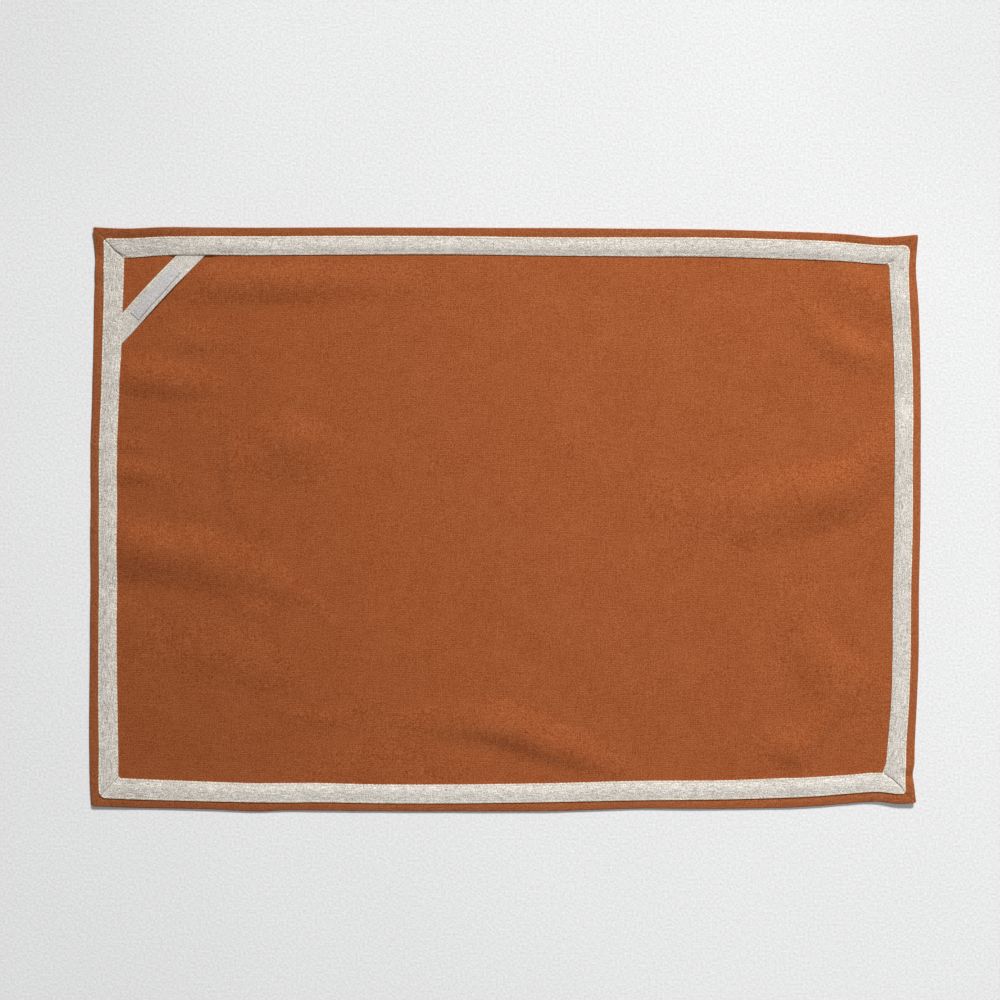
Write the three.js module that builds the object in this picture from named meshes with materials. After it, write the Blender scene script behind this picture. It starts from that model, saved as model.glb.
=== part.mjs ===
// Linen placemat lying flat on a table, seen with +X along its long side and +Z up, in millimetres.
// A heavy rust brown cloth has its hem turned up on to the face with mitred corners. A natural linen
// tape is sewn round over the hem's raw edge, a short length of the same tape crosses one corner as a
// strap, and a small woven label lies on the strap.
import * as THREE from "three";
import { mergeVertices } from "three/addons/utils/BufferGeometryUtils.js";

// Size over all, and the layers
const LENGTH = 498.4;
const WIDTH = 350.2;
const CLOTH_THICK = 1.0;
const TAPE_THICK = 1.0;
const LABEL_THICK = 1.0;
const CLEAR = 0.3;

// The hem: how far the cloth turns back over itself, and the groove along each mitre
const HEM_TURN = 13.0;
const HEM_MIDDLE = 7.5;
const HEM_GROOVE = 0.35;
const INNER_LINE = 18.0;

// The tape: where it starts to step down past the hem's raw edge, and how far it pillows
const STEP_START = 13.8;
const STEP_SHARE = 0.45;
const CROWN_DEPTH = 9.0;
const TAPE_CROWN = 0.25;
const TAPE_GROOVE = 0.3;
const CORNER_SHARES = [0.28, 0.62];

// The strap across the corner at the left of the top side, centre line from the top to the left
const STRAP_WIDTH = 12.4;
const STRAP_TOP = { x: -187.4, y: 158.0 };
const STRAP_LEFT = { x: -228.9, y: 115.0 };
const STRAP_TUCK = 13.4;
const STRAP_ARCH = 0.9;
const ARCH_START = 0.3;
const LIFT_RAMP = 4.0;
const LIFT_OVER_STRAP = { top: { from: -197.2, to: -174.6 }, left: { from: 101.4, to: 125.8 } };

// The label, its middle on the strap and its long side turned a little from the strap's
const LABEL_LENGTH = 37.5;
const LABEL_WIDTH = 7.4;
const LABEL_MIDDLE = { x: -209.2, y: 135.9 };
const LABEL_ANGLE = THREE.MathUtils.degToRad(48.5);

// How finely each piece is divided, and how often a crossing of two bowed lines is refined
const CELLS_ALONG = 36;
const CELLS_ACROSS = 34;
const FOLD_STEPS = 4;
const STRAP_CELLS = 18;
const LABEL_CELLS = 10;
const PASSES = 6;

// Each side, from its left or lower corner on: place along the side, how far the mat's edge lies
// inside the box round the mat, how much hem shows outside the tape, and the tape's width.
const SIDES = {
  top: [
    { at: -246.6, inset: 0.3, hem: 6.5, tape: 11.2 },
    { at: -226.0, inset: 1.0, hem: 6.0, tape: 11.5 },
    { at: -204.0, inset: 0.4, hem: 5.4, tape: 11.5 },
    { at: -150.0, inset: 0.1, hem: 5.3, tape: 11.5 },
    { at: -90.0, inset: 0.1, hem: 5.3, tape: 11.6 },
    { at: -30.0, inset: 0.1, hem: 5.4, tape: 11.0 },
    { at: 30.0, inset: 0.3, hem: 5.9, tape: 10.9 },
    { at: 80.0, inset: 0.8, hem: 5.5, tape: 11.4 },
    { at: 120.0, inset: 1.2, hem: 5.1, tape: 11.6 },
    { at: 160.0, inset: 2.3, hem: 4.9, tape: 11.8 },
    { at: 190.0, inset: 3.4, hem: 4.9, tape: 11.5 },
    { at: 208.0, inset: 4.7, hem: 5.1, tape: 11.2 },
    { at: 224.0, inset: 6.1, hem: 5.1, tape: 11.0 },
    { at: 236.0, inset: 5.7, hem: 5.6, tape: 11.1 },
    { at: 247.8, inset: 4.6, hem: 5.7, tape: 11.2 },
  ],
  bottom: [
    { at: -247.8, inset: 3.4, hem: 5.3, tape: 12.3 },
    { at: -226.0, inset: 2.9, hem: 4.9, tape: 12.3 },
    { at: -178.0, inset: 1.8, hem: 4.7, tape: 11.8 },
    { at: -149.0, inset: 0.2, hem: 5.2, tape: 11.6 },
    { at: -130.0, inset: 0.8, hem: 4.9, tape: 11.5 },
    { at: -114.0, inset: 1.0, hem: 4.6, tape: 11.6 },
    { at: -80.0, inset: 0.5, hem: 4.6, tape: 11.5 },
    { at: -25.0, inset: 0.0, hem: 5.0, tape: 11.2 },
    { at: 30.0, inset: 0.3, hem: 5.5, tape: 11.3 },
    { at: 81.0, inset: 1.8, hem: 5.0, tape: 11.5 },
    { at: 130.0, inset: 1.7, hem: 5.3, tape: 11.3 },
    { at: 168.0, inset: 2.2, hem: 5.8, tape: 11.7 },
    { at: 187.0, inset: 3.2, hem: 5.6, tape: 11.5 },
    { at: 206.0, inset: 5.2, hem: 5.2, tape: 11.3 },
    { at: 224.0, inset: 6.8, hem: 5.0, tape: 11.6 },
    { at: 235.0, inset: 5.8, hem: 5.0, tape: 11.6 },
    { at: 246.3, inset: 5.7, hem: 5.2, tape: 11.6 },
  ],
  left: [
    { at: -172.0, inset: 1.4, hem: 5.7, tape: 11.5 },
    { at: -162.0, inset: 0.5, hem: 5.7, tape: 11.5 },
    { at: -138.0, inset: 0.0, hem: 5.9, tape: 11.5 },
    { at: -105.0, inset: 0.3, hem: 5.2, tape: 11.7 },
    { at: -67.0, inset: 0.7, hem: 5.1, tape: 11.1 },
    { at: -29.0, inset: 0.9, hem: 5.3, tape: 10.8 },
    { at: 10.0, inset: 0.9, hem: 4.9, tape: 11.0 },
    { at: 46.0, inset: 1.1, hem: 5.0, tape: 11.0 },
    { at: 80.0, inset: 1.8, hem: 5.5, tape: 11.0 },
    { at: 105.0, inset: 2.8, hem: 5.1, tape: 12.0 },
    { at: 130.0, inset: 3.2, hem: 5.3, tape: 12.1 },
    { at: 155.0, inset: 3.9, hem: 5.1, tape: 12.1 },
    { at: 164.0, inset: 3.4, hem: 5.4, tape: 12.1 },
    { at: 174.8, inset: 2.6, hem: 5.5, tape: 12.1 },
  ],
  right: [
    { at: -169.4, inset: 2.9, hem: 5.7, tape: 13.4 },
    { at: -160.0, inset: 4.0, hem: 5.4, tape: 13.4 },
    { at: -151.5, inset: 4.9, hem: 4.6, tape: 13.4 },
    { at: -146.0, inset: 4.3, hem: 5.0, tape: 12.0 },
    { at: -140.0, inset: 3.9, hem: 5.3, tape: 11.5 },
    { at: -110.0, inset: 2.4, hem: 5.1, tape: 10.8 },
    { at: -84.0, inset: 1.5, hem: 5.2, tape: 10.9 },
    { at: -42.0, inset: 1.1, hem: 4.9, tape: 11.0 },
    { at: 0.0, inset: 0.3, hem: 5.0, tape: 11.0 },
    { at: 42.0, inset: 0.1, hem: 5.0, tape: 11.0 },
    { at: 80.0, inset: 0.0, hem: 5.1, tape: 11.2 },
    { at: 117.0, inset: 1.0, hem: 5.3, tape: 11.2 },
    { at: 134.0, inset: 1.8, hem: 5.2, tape: 11.6 },
    { at: 151.0, inset: 3.0, hem: 4.4, tape: 11.8 },
    { at: 161.0, inset: 2.6, hem: 4.4, tape: 11.8 },
    { at: 170.5, inset: 1.5, hem: 5.1, tape: 11.8 },
  ],
};

// Which way each side faces along its own axis, and half of the mat that way
const FACING = {
  top: { sign: 1, half: WIDTH / 2 },
  bottom: { sign: -1, half: WIDTH / 2 },
  left: { sign: -1, half: LENGTH / 2 },
  right: { sign: 1, half: LENGTH / 2 },
};

// Corners in the order in which the tape goes round: radius of the tape's outer corner, how high the
// mat's tip stands off the table, and how far from the tip that reaches
const CORNERS = {
  topLeft: { sides: ["left", "top"], round: 1.5, rise: 0.8, reach: 26 },
  bottomLeft: { sides: ["left", "bottom"], round: 3.2, rise: 1.6, reach: 32 },
  bottomRight: { sides: ["right", "bottom"], round: 3.0, rise: 3.4, reach: 34 },
  topRight: { sides: ["right", "top"], round: 4.6, rise: 0.8, reach: 28 },
};

// How the rise grows towards a tip: 1 is a straight ramp
const TIP_CURL = 1.5;

// Soft folds where the cloth stands off the table: the points along each crest, how high it stands
// there, and how far its slopes spread to the left and to the right as one goes along it
const FOLDS = {
  leftEdge: [
    { x: -249, y: -12, rise: 3.2, left: 20, right: 26 },
    { x: -220, y: -17, rise: 3.2, left: 18, right: 25 },
    { x: -190, y: -21, rise: 2.7, left: 20, right: 24 },
    { x: -168, y: -27, rise: 1.9, left: 20, right: 24 },
    { x: -145, y: -35, rise: 1.0, left: 16, right: 20 },
    { x: -122, y: -46, rise: 0.5, left: 8, right: 12 },
    { x: -105, y: -60, rise: 0.15, left: 6, right: 9 },
  ],
  upperLeft: [
    { x: -249, y: 84, rise: 1.7, left: 17, right: 13 },
    { x: -226, y: 84, rise: 1.7, left: 17, right: 13 },
    { x: -200, y: 82, rise: 1.6, left: 16, right: 13 },
    { x: -184, y: 81, rise: 1.0, left: 13, right: 12 },
    { x: -170, y: 80, rise: 0.1, left: 10, right: 8 },
  ],
  underTheTopTape: [
    { x: -190, y: 143, rise: 0.5, left: 14, right: 16 },
    { x: -168, y: 142, rise: 1.4, left: 14, right: 16 },
    { x: -135, y: 142, rise: 1.8, left: 14, right: 15 },
    { x: -104, y: 142, rise: 1.0, left: 14, right: 14 },
    { x: -60, y: 142, rise: 0.6, left: 14, right: 12 },
    { x: -36, y: 142, rise: 0.1, left: 12, right: 10 },
  ],
  leftDome: [
    { x: -150, y: 46, rise: 0.5, left: 20, right: 26 },
    { x: -128, y: 46, rise: 1.7, left: 22, right: 30 },
    { x: -106, y: 40, rise: 0.9, left: 20, right: 22 },
    { x: -92, y: 36, rise: 0.1, left: 16, right: 16 },
  ],
  middleLeft: [
    { x: -249, y: 28, rise: 1.1, left: 9, right: 10 },
    { x: -226, y: 28, rise: 1.1, left: 9, right: 9 },
    { x: -208, y: 26, rise: 0.4, left: 8, right: 10 },
    { x: -196, y: 24, rise: 0.1, left: 8, right: 8 },
  ],
  lowerLeft: [
    { x: -200, y: -80, rise: 0.1, left: 16, right: 20 },
    { x: -170, y: -84, rise: 0.9, left: 18, right: 24 },
    { x: -150, y: -88, rise: 0.9, left: 16, right: 22 },
    { x: -135, y: -92, rise: 0.1, left: 12, right: 14 },
  ],
  lowerLeftEdge: [
    { x: -249, y: -60, rise: 0.9, left: 24, right: 30 },
    { x: -220, y: -66, rise: 0.7, left: 24, right: 30 },
    { x: -200, y: -72, rise: 0.1, left: 20, right: 24 },
  ],
  bottomCrease: [
    { x: -62, y: -122, rise: 0.3, left: 12, right: 9 },
    { x: -40, y: -122, rise: 0.6, left: 16, right: 12 },
    { x: -18, y: -124, rise: 1.6, left: 20, right: 13 },
    { x: 4, y: -127, rise: 2.4, left: 20, right: 14 },
    { x: 24, y: -135, rise: 2.1, left: 18, right: 13 },
    { x: 44, y: -141, rise: 1.4, left: 15, right: 12 },
    { x: 66, y: -150, rise: 0.5, left: 12, right: 8 },
  ],
  rightBow: [
    { x: 92, y: 8, rise: 0.2, left: 20, right: 20 },
    { x: 120, y: 8, rise: 0.7, left: 24, right: 24 },
    { x: 150, y: 7, rise: 1.6, left: 28, right: 26 },
    { x: 168, y: 10, rise: 2.4, left: 26, right: 25 },
    { x: 184, y: 14, rise: 3.1, left: 24, right: 22 },
    { x: 200, y: 18, rise: 3.2, left: 24, right: 21 },
    { x: 213, y: 26, rise: 2.8, left: 20, right: 20 },
    { x: 224, y: 39, rise: 2.1, left: 16, right: 19 },
    { x: 236, y: 56, rise: 1.2, left: 14, right: 18 },
  ],
  upperRight: [
    { x: 174, y: 130, rise: 0.2, left: 14, right: 14 },
    { x: 186, y: 117, rise: 0.9, left: 13, right: 15 },
    { x: 198, y: 106, rise: 1.4, left: 13, right: 15 },
    { x: 212, y: 99, rise: 1.2, left: 13, right: 14 },
    { x: 236, y: 96, rise: 0.4, left: 12, right: 14 },
  ],
  topRight: [
    { x: 196, y: 160, rise: 0.6, left: 16, right: 16 },
    { x: 210, y: 140, rise: 1.0, left: 16, right: 20 },
    { x: 236, y: 132, rise: 1.0, left: 16, right: 20 },
  ],
  lowerRight: [
    { x: 176, y: -36, rise: 0.2, left: 14, right: 18 },
    { x: 178, y: -58, rise: 1.0, left: 15, right: 22 },
    { x: 186, y: -80, rise: 1.9, left: 16, right: 26 },
    { x: 200, y: -94, rise: 1.6, left: 19, right: 26 },
    { x: 222, y: -104, rise: 0.7, left: 20, right: 22 },
  ],
  rightCorner: [
    { x: 204, y: -110, rise: 0.3, left: 14, right: 12 },
    { x: 198, y: -121, rise: 1.8, left: 16, right: 11 },
    { x: 190, y: -135, rise: 2.1, left: 15, right: 11 },
    { x: 185, y: -148, rise: 1.7, left: 12, right: 10 },
    { x: 181, y: -160, rise: 0.9, left: 12, right: 9 },
  ],
  bottomRight: [
    { x: 154, y: -136, rise: 0.3, left: 12, right: 12 },
    { x: 171, y: -137, rise: 1.7, left: 14, right: 15 },
    { x: 184, y: -138, rise: 0.3, left: 12, right: 12 },
  ],
};

// The layers of the hem, from the table up
const FLAP_UNDER = CLOTH_THICK + CLEAR;
const FLAP_TOP = FLAP_UNDER + CLOTH_THICK;
const FOLD_CENTRE = FLAP_TOP / 2;
const ON_CLOTH = CLOTH_THICK + CLEAR;
const ON_HEM = FLAP_TOP + CLEAR;

// Rings of the cloth from the hem's raw edge, round the fold and in under the hem: how deep inside
// the mat's edge each lies, and its height, for the face that shows and for the back.
function hemRings() {
  const flap = (depth) => ({
    face: { depth, height: FLAP_UNDER },
    back: { depth, height: FLAP_TOP },
  });
  const base = (depth) => ({
    face: { depth, height: CLOTH_THICK },
    back: { depth, height: 0 },
  });
  const fold = (angle) => {
    const at = (radius) => ({
      depth: FOLD_CENTRE - radius * Math.cos(angle),
      height: FOLD_CENTRE + radius * Math.sin(angle),
    });
    return { face: at(CLEAR / 2), back: at(FOLD_CENTRE) };
  };
  const turns = Array.from({ length: FOLD_STEPS + 1 }, (_, step) =>
    fold(Math.PI / 2 - (Math.PI * step) / FOLD_STEPS),
  );
  return [flap(HEM_TURN), flap(HEM_MIDDLE), ...turns, base(HEM_MIDDLE), base(HEM_TURN)];
}

// Reads a side's table between its rows on a smooth curve.
const interpolants = Object.fromEntries(
  Object.entries(SIDES).map(([side, rows]) => [
    side,
    new THREE.CubicInterpolant(
      rows.map((row) => row.at),
      rows.flatMap((row) => [row.inset, row.hem, row.tape]),
      3,
    ),
  ]),
);

function readSide(side, at) {
  const [inset, hem, tape] = interpolants[side].evaluate(at);
  return { inset, hem, tape };
}

// The coordinate, across a side, of the line that lies some depth inside the mat's edge. The depth
// is a number, or a function of the side's table at that place.
function lineInside(side, at, depth) {
  const row = readSide(side, at);
  const { sign, half } = FACING[side];
  return sign * (half - row.inset - (typeof depth === "function" ? depth(row) : depth));
}

// The point where the lines of two sides at one depth cross.
function cornerPoint(upright, level, depth) {
  let x = FACING[upright].sign * FACING[upright].half;
  let y = FACING[level].sign * FACING[level].half;
  for (let pass = 0; pass < PASSES; pass += 1) {
    x = lineInside(upright, y, depth);
    y = lineInside(level, x, depth);
  }
  return new THREE.Vector2(x, y);
}

// A point of the cloth inside the inner line, from its shares along and across.
function innerPoint(along, across) {
  let x = THREE.MathUtils.lerp(-LENGTH / 2, LENGTH / 2, along);
  let y = THREE.MathUtils.lerp(-WIDTH / 2, WIDTH / 2, across);
  for (let pass = 0; pass < PASSES; pass += 1) {
    x = THREE.MathUtils.lerp(
      lineInside("left", y, INNER_LINE),
      lineInside("right", y, INNER_LINE),
      along,
    );
    y = THREE.MathUtils.lerp(
      lineInside("bottom", x, INNER_LINE),
      lineInside("top", x, INNER_LINE),
      across,
    );
  }
  return new THREE.Vector2(x, y);
}

// How high a fold's slopes stand at a point: nought beyond their spread.
function foldRise(rows, x, y) {
  let best = { share: 1, rise: 0 };
  for (let n = 0; n + 1 < rows.length; n += 1) {
    const [a, b] = [rows[n], rows[n + 1]];
    const run = new THREE.Vector2(b.x - a.x, b.y - a.y);
    const t = THREE.MathUtils.clamp(
      ((x - a.x) * run.x + (y - a.y) * run.y) / run.lengthSq(),
      0,
      1,
    );
    const away = Math.hypot(x - a.x - t * run.x, y - a.y - t * run.y);
    const hand = run.x * (y - a.y) - run.y * (x - a.x) > 0 ? "left" : "right";
    const share = away / THREE.MathUtils.lerp(a[hand], b[hand], t);
    if (share < best.share) best = { share, rise: THREE.MathUtils.lerp(a.rise, b.rise, t) };
  }
  return best.rise * (1 - best.share ** 2) ** 2;
}

const tips = Object.values(CORNERS).map((corner) => ({
  ...corner,
  tip: cornerPoint(corner.sides[0], corner.sides[1], 0),
}));

// The height of the cloth's underside above the table.
function riseAt(x, y) {
  const folds = Object.values(FOLDS).reduce((sum, rows) => sum + foldRise(rows, x, y), 0);
  return tips.reduce((sum, { tip, rise, reach }) => {
    const share = Math.min(1, Math.hypot(x - tip.x, y - tip.y) / reach);
    return sum + rise * (1 - share) ** TIP_CURL;
  }, folds);
}

// Turns a divided box into a piece: place gives the point for each corner of the box's grid.
function shapedBox(cells, place) {
  const box = new THREE.BoxGeometry(1, 1, 1, cells.along, cells.across, 1);
  const points = box.getAttribute("position");
  for (let n = 0; n < points.count; n += 1) {
    const point = place(
      Math.round((points.getX(n) + 0.5) * cells.along),
      Math.round((points.getY(n) + 0.5) * cells.across),
      points.getZ(n) > 0,
    );
    points.setXYZ(n, point.x, point.y, point.z);
  }
  box.deleteAttribute("normal");
  box.deleteAttribute("uv");
  return mergeVertices(box, 1e-4);
}

// The cloth is one sheet: the middle of the grid lies on the table, and its outer rings go round the
// fold and back over the edge, meeting at the mitres.
function clothGeometry() {
  const rings = hemRings();
  const edge = rings.length;
  const cells = { along: CELLS_ALONG + 2 * edge, across: CELLS_ACROSS + 2 * edge };

  // Share of the way between the inner lines for a column or row of the grid
  const shareOf = (index, count) => (index - edge) / (count - 2 * edge);

  // Place along a side for one index of a ring: over the inner cloth it follows the grid, and near
  // a corner it closes in on the mitre.
  function alongSide(index, count, ring, axis, corners, depth) {
    if (index >= edge && index <= count - edge) return null;
    const nearLow = index < edge;
    const steps = nearLow ? index - ring : count - ring - index;
    const [upright, level] = corners[nearLow ? 0 : 1];
    const from = cornerPoint(upright, level, depth)[axis];
    const to = cornerPoint(upright, level, INNER_LINE)[axis];
    return THREE.MathUtils.lerp(from, to, steps / (edge - ring));
  }

  function place(i, j, isFace) {
    const ring = Math.min(i, j, cells.along - i, cells.across - j);
    if (ring >= edge) {
      const { x, y } = innerPoint(shareOf(i, cells.along), shareOf(j, cells.across));
      return new THREE.Vector3(x, y, riseAt(x, y) + (isFace ? CLOTH_THICK : 0));
    }
    const { depth, height } = rings[ring][isFace ? "face" : "back"];
    const level = j === ring ? "bottom" : "top";
    const upright = i === ring ? "left" : "right";
    let x;
    let y;
    if (j === ring || j === cells.across - ring) {
      const corners = [["left", level], ["right", level]];
      const nearCorner = alongSide(i, cells.along, ring, "x", corners, depth);
      x = nearCorner ?? innerPoint(shareOf(i, cells.along), level === "top" ? 1 : 0).x;
      y = lineInside(level, x, depth);
    } else {
      const corners = [[upright, "bottom"], [upright, "top"]];
      const nearCorner = alongSide(j, cells.across, ring, "y", corners, depth);
      y = nearCorner ?? innerPoint(upright === "right" ? 1 : 0, shareOf(j, cells.across)).y;
      x = lineInside(upright, y, depth);
    }
    const onMitre =
      Math.min(i, cells.along - i) === ring && Math.min(j, cells.across - j) === ring;
    const onFlap = height > CLOTH_THICK && depth > FOLD_CENTRE - CLEAR;
    const groove = onMitre && onFlap && !isFace ? HEM_GROOVE : 0;
    return new THREE.Vector3(x, y, riseAt(x, y) + height - groove);
  }

  return shapedBox(cells, place);
}

// How much of the strap's thickness lifts the border tape at a place along a side.
function liftOverStrap(side, at) {
  const span = LIFT_OVER_STRAP[side];
  if (!span) return 0;
  const outside = Math.max(span.from - at, at - span.to, 0);
  return 1 - THREE.MathUtils.smoothstep(outside, 0, LIFT_RAMP);
}

// The tape's section from its outer edge in: depth inside the mat's edge, how far it has stepped
// down from the hem to the cloth, and how much it pillows.
const TAPE_ROWS = [
  { depth: (row) => row.hem, down: 0, crown: 0, round: 1 },
  { depth: () => CROWN_DEPTH, down: 0, crown: TAPE_CROWN, round: 0.5 },
  { depth: () => STEP_START, down: 0, crown: 0, round: 0 },
  {
    depth: (row) => THREE.MathUtils.lerp(STEP_START, row.hem + row.tape, STEP_SHARE),
    down: 0.7,
    crown: 0,
    round: 0,
  },
  { depth: (row) => row.hem + row.tape, down: 1, crown: 0, round: 0 },
];

// Stations along the tape: down the left side, along the bottom, up the right and back along the
// top. It starts and ends at the mitre of the top left corner.
function tapeStations() {
  const legs = [
    { side: "left", other: ["top", "bottom"], corners: ["topLeft", "bottomLeft"] },
    { side: "bottom", other: ["left", "right"], corners: ["bottomLeft", "bottomRight"] },
    { side: "right", other: ["bottom", "top"], corners: ["bottomRight", "topRight"] },
    { side: "top", other: ["right", "left"], corners: ["topRight", "topLeft"] },
  ];
  const stations = [];
  for (const leg of legs) {
    const upright = leg.side === "left" || leg.side === "right";
    const axis = upright ? "y" : "x";
    const count = upright ? CELLS_ACROSS : CELLS_ALONG;
    const cross = (other, depth) =>
      upright ? cornerPoint(leg.side, other, depth) : cornerPoint(other, leg.side, depth);
    const [start, end] = leg.other.map((other) => cross(other, INNER_LINE)[axis]);
    const places = Array.from({ length: count + 1 }, (_, n) =>
      THREE.MathUtils.lerp(start, end, n / count),
    );
    const span = LIFT_OVER_STRAP[leg.side];
    if (span) places.push(span.from - LIFT_RAMP, span.from, span.to, span.to + LIFT_RAMP);
    places.sort((a, b) => (a - b) * Math.sign(end - start));

    const nearCorner = (other, corner, share) => ({
      leg,
      corner: share === 0 ? CORNERS[corner] : null,
      at: (depth) =>
        THREE.MathUtils.lerp(cross(other, depth)[axis], cross(other, INNER_LINE)[axis], share),
    });
    const isFirst = stations.length === 0;
    if (isFirst) stations.push({ ...nearCorner(leg.other[0], leg.corners[0], 0), cut: true });
    const easing = (end) =>
      CORNER_SHARES.map((share) => nearCorner(leg.other[end], leg.corners[end], share));
    stations.push(...easing(0));
    stations.push(...places.map((place) => ({ leg, corner: null, at: () => place })));
    stations.push(...easing(1).reverse());
    const isLast = leg === legs.at(-1);
    stations.push({ ...nearCorner(leg.other[1], leg.corners[1], 0), cut: isLast });
  }
  return stations;
}

function borderTapeGeometry() {
  const stations = tapeStations();
  const cells = { along: stations.length - 1, across: TAPE_ROWS.length - 1 };

  function place(k, m, isTop) {
    const station = stations[k];
    const row = TAPE_ROWS[m];
    const { side } = station.leg;
    const at = station.at(row.depth);
    const across = lineInside(side, at, row.depth);
    const upright = side === "left" || side === "right";
    const point = upright ? new THREE.Vector2(across, at) : new THREE.Vector2(at, across);

    // An eased corner draws the outer rows in along the mitre
    if (station.corner && !station.cut) {
      const draw = station.corner.round * row.round * (1 - Math.SQRT1_2);
      point.x -= Math.sign(point.x) * draw;
      point.y -= Math.sign(point.y) * draw;
    }
    // The two cut ends stand off the mitre line by half the gap each
    if (station.cut) {
      point[upright ? "y" : "x"] += ((upright ? -1 : 1) * CLEAR) / Math.SQRT2;
    }

    const drop = (ON_HEM - ON_CLOTH) * row.down * (1 - liftOverStrap(side, at));
    const groove = station.corner && isTop && m > 0 ? TAPE_GROOVE : 0;
    const crown = isTop ? row.crown : 0;
    const bottom = riseAt(point.x, point.y) + ON_HEM - drop;
    return new THREE.Vector3(point.x, point.y, bottom + (isTop ? TAPE_THICK + crown - groove : 0));
  }

  return shapedBox(cells, place);
}

// The strap's frame: along it from the top end, and across it towards the middle of the mat
const strapRun = new THREE.Vector2(STRAP_LEFT.x - STRAP_TOP.x, STRAP_LEFT.y - STRAP_TOP.y);
const strapAlong = strapRun.clone().normalize();
const strapAcross = new THREE.Vector2(-strapAlong.y, strapAlong.x);

// Height of the strap's underside above the cloth's top face, by share of its length
function strapStand(share) {
  return CLEAR + STRAP_ARCH * THREE.MathUtils.smoothstep(Math.sin(Math.PI * share), ARCH_START, 1);
}

function cornerStrapGeometry() {
  const cells = { along: STRAP_CELLS, across: 2 };

  // Where an edge line of the strap meets the line at which the strap ends under the tape
  function strapEnd(side, across) {
    const { x, y } = STRAP_TOP;
    let run = side === "top" ? 0 : strapRun.length();
    for (let pass = 0; pass < PASSES; pass += 1) {
      const px = x + strapAlong.x * run + strapAcross.x * across;
      const py = y + strapAlong.y * run + strapAcross.y * across;
      run +=
        side === "top"
          ? (lineInside("top", px, STRAP_TUCK) - py) / strapAlong.y
          : (lineInside("left", py, STRAP_TUCK) - px) / strapAlong.x;
    }
    return run;
  }

  function place(i, j, isTop) {
    const across = (j / cells.across - 0.5) * STRAP_WIDTH;
    const run = THREE.MathUtils.lerp(
      strapEnd("top", across),
      strapEnd("left", across),
      i / cells.along,
    );
    const x = STRAP_TOP.x + strapAlong.x * run + strapAcross.x * across;
    const y = STRAP_TOP.y + strapAlong.y * run + strapAcross.y * across;
    const stand = strapStand(THREE.MathUtils.clamp(run / strapRun.length(), 0, 1));
    return new THREE.Vector3(x, y, riseAt(x, y) + CLOTH_THICK + stand + (isTop ? TAPE_THICK : 0));
  }

  return shapedBox(cells, place);
}

function labelGeometry() {
  const cells = { along: LABEL_CELLS, across: 2 };
  const along = new THREE.Vector2(-Math.cos(LABEL_ANGLE), -Math.sin(LABEL_ANGLE));
  const across = new THREE.Vector2(-along.y, along.x);

  function place(i, j, isTop) {
    const run = (i / cells.along - 0.5) * LABEL_LENGTH;
    const aside = (j / cells.across - 0.5) * LABEL_WIDTH;
    const x = LABEL_MIDDLE.x + along.x * run + across.x * aside;
    const y = LABEL_MIDDLE.y + along.y * run + across.y * aside;
    const share =
      ((x - STRAP_TOP.x) * strapAlong.x + (y - STRAP_TOP.y) * strapAlong.y) / strapRun.length();
    const bottom = riseAt(x, y) + CLOTH_THICK + strapStand(share) + TAPE_THICK + CLEAR;
    return new THREE.Vector3(x, y, bottom + (isTop ? LABEL_THICK : 0));
  }

  return shapedBox(cells, place);
}

// Finishes
const rustCloth = new THREE.MeshStandardMaterial({ color: "#9f5730", roughness: 0.92, metalness: 0 });
const linenTape = new THREE.MeshStandardMaterial({ color: "#cfc6ba", roughness: 0.9, metalness: 0 });
const greyLabel = new THREE.MeshStandardMaterial({ color: "#b3aba9", roughness: 0.8, metalness: 0 });

const placemat = new THREE.Group();
for (const [name, geometry, material] of [
  ["cloth", clothGeometry(), rustCloth],
  ["border_tape", borderTapeGeometry(), linenTape],
  ["corner_strap", cornerStrapGeometry(), linenTape.clone()],
  ["label", labelGeometry(), greyLabel],
]) {
  geometry.computeVertexNormals();
  const mesh = new THREE.Mesh(geometry, material);
  mesh.name = name;
  placemat.add(mesh);
}

export default placemat;
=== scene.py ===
"""Cloth placemat seen from above: a rust brown cloth with a turned hem, a linen tape border sewn over the
hem, a short strap of the same tape across one corner, and a small bare label on the strap. Metres, with
+X along the mat's long side, +Y away from the viewer and +Z up from the table."""

import math
from collections import namedtuple

import bpy
import numpy as np
from bpy.props import FloatProperty, FloatVectorProperty, IntProperty, PointerProperty
from bpy.types import Operator, Panel, PropertyGroup
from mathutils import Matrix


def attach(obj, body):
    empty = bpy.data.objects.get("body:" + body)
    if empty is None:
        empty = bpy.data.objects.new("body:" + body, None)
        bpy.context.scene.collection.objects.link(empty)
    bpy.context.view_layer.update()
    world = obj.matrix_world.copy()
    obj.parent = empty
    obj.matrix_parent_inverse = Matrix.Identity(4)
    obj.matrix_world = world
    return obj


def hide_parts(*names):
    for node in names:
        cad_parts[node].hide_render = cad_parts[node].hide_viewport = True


bl_info = {
    "name": "Placemat",
    "version": (1, 0, 0),
    "blender": (4, 5, 0),
    "location": "View3D > Sidebar > Placemat",
    "description": "Cloth placemat with a sewn tape border, a corner strap and a bare label",
    "category": "Mesh",
}

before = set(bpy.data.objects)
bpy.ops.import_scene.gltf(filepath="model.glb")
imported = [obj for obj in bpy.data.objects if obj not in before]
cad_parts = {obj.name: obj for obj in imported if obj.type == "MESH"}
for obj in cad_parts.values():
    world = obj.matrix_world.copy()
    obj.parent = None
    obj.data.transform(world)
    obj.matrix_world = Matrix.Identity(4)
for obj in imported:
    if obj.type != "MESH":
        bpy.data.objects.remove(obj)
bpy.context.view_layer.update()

MM = 0.001
LENGTH = 498.4 * MM
WIDTH = 350.2 * MM

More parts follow.
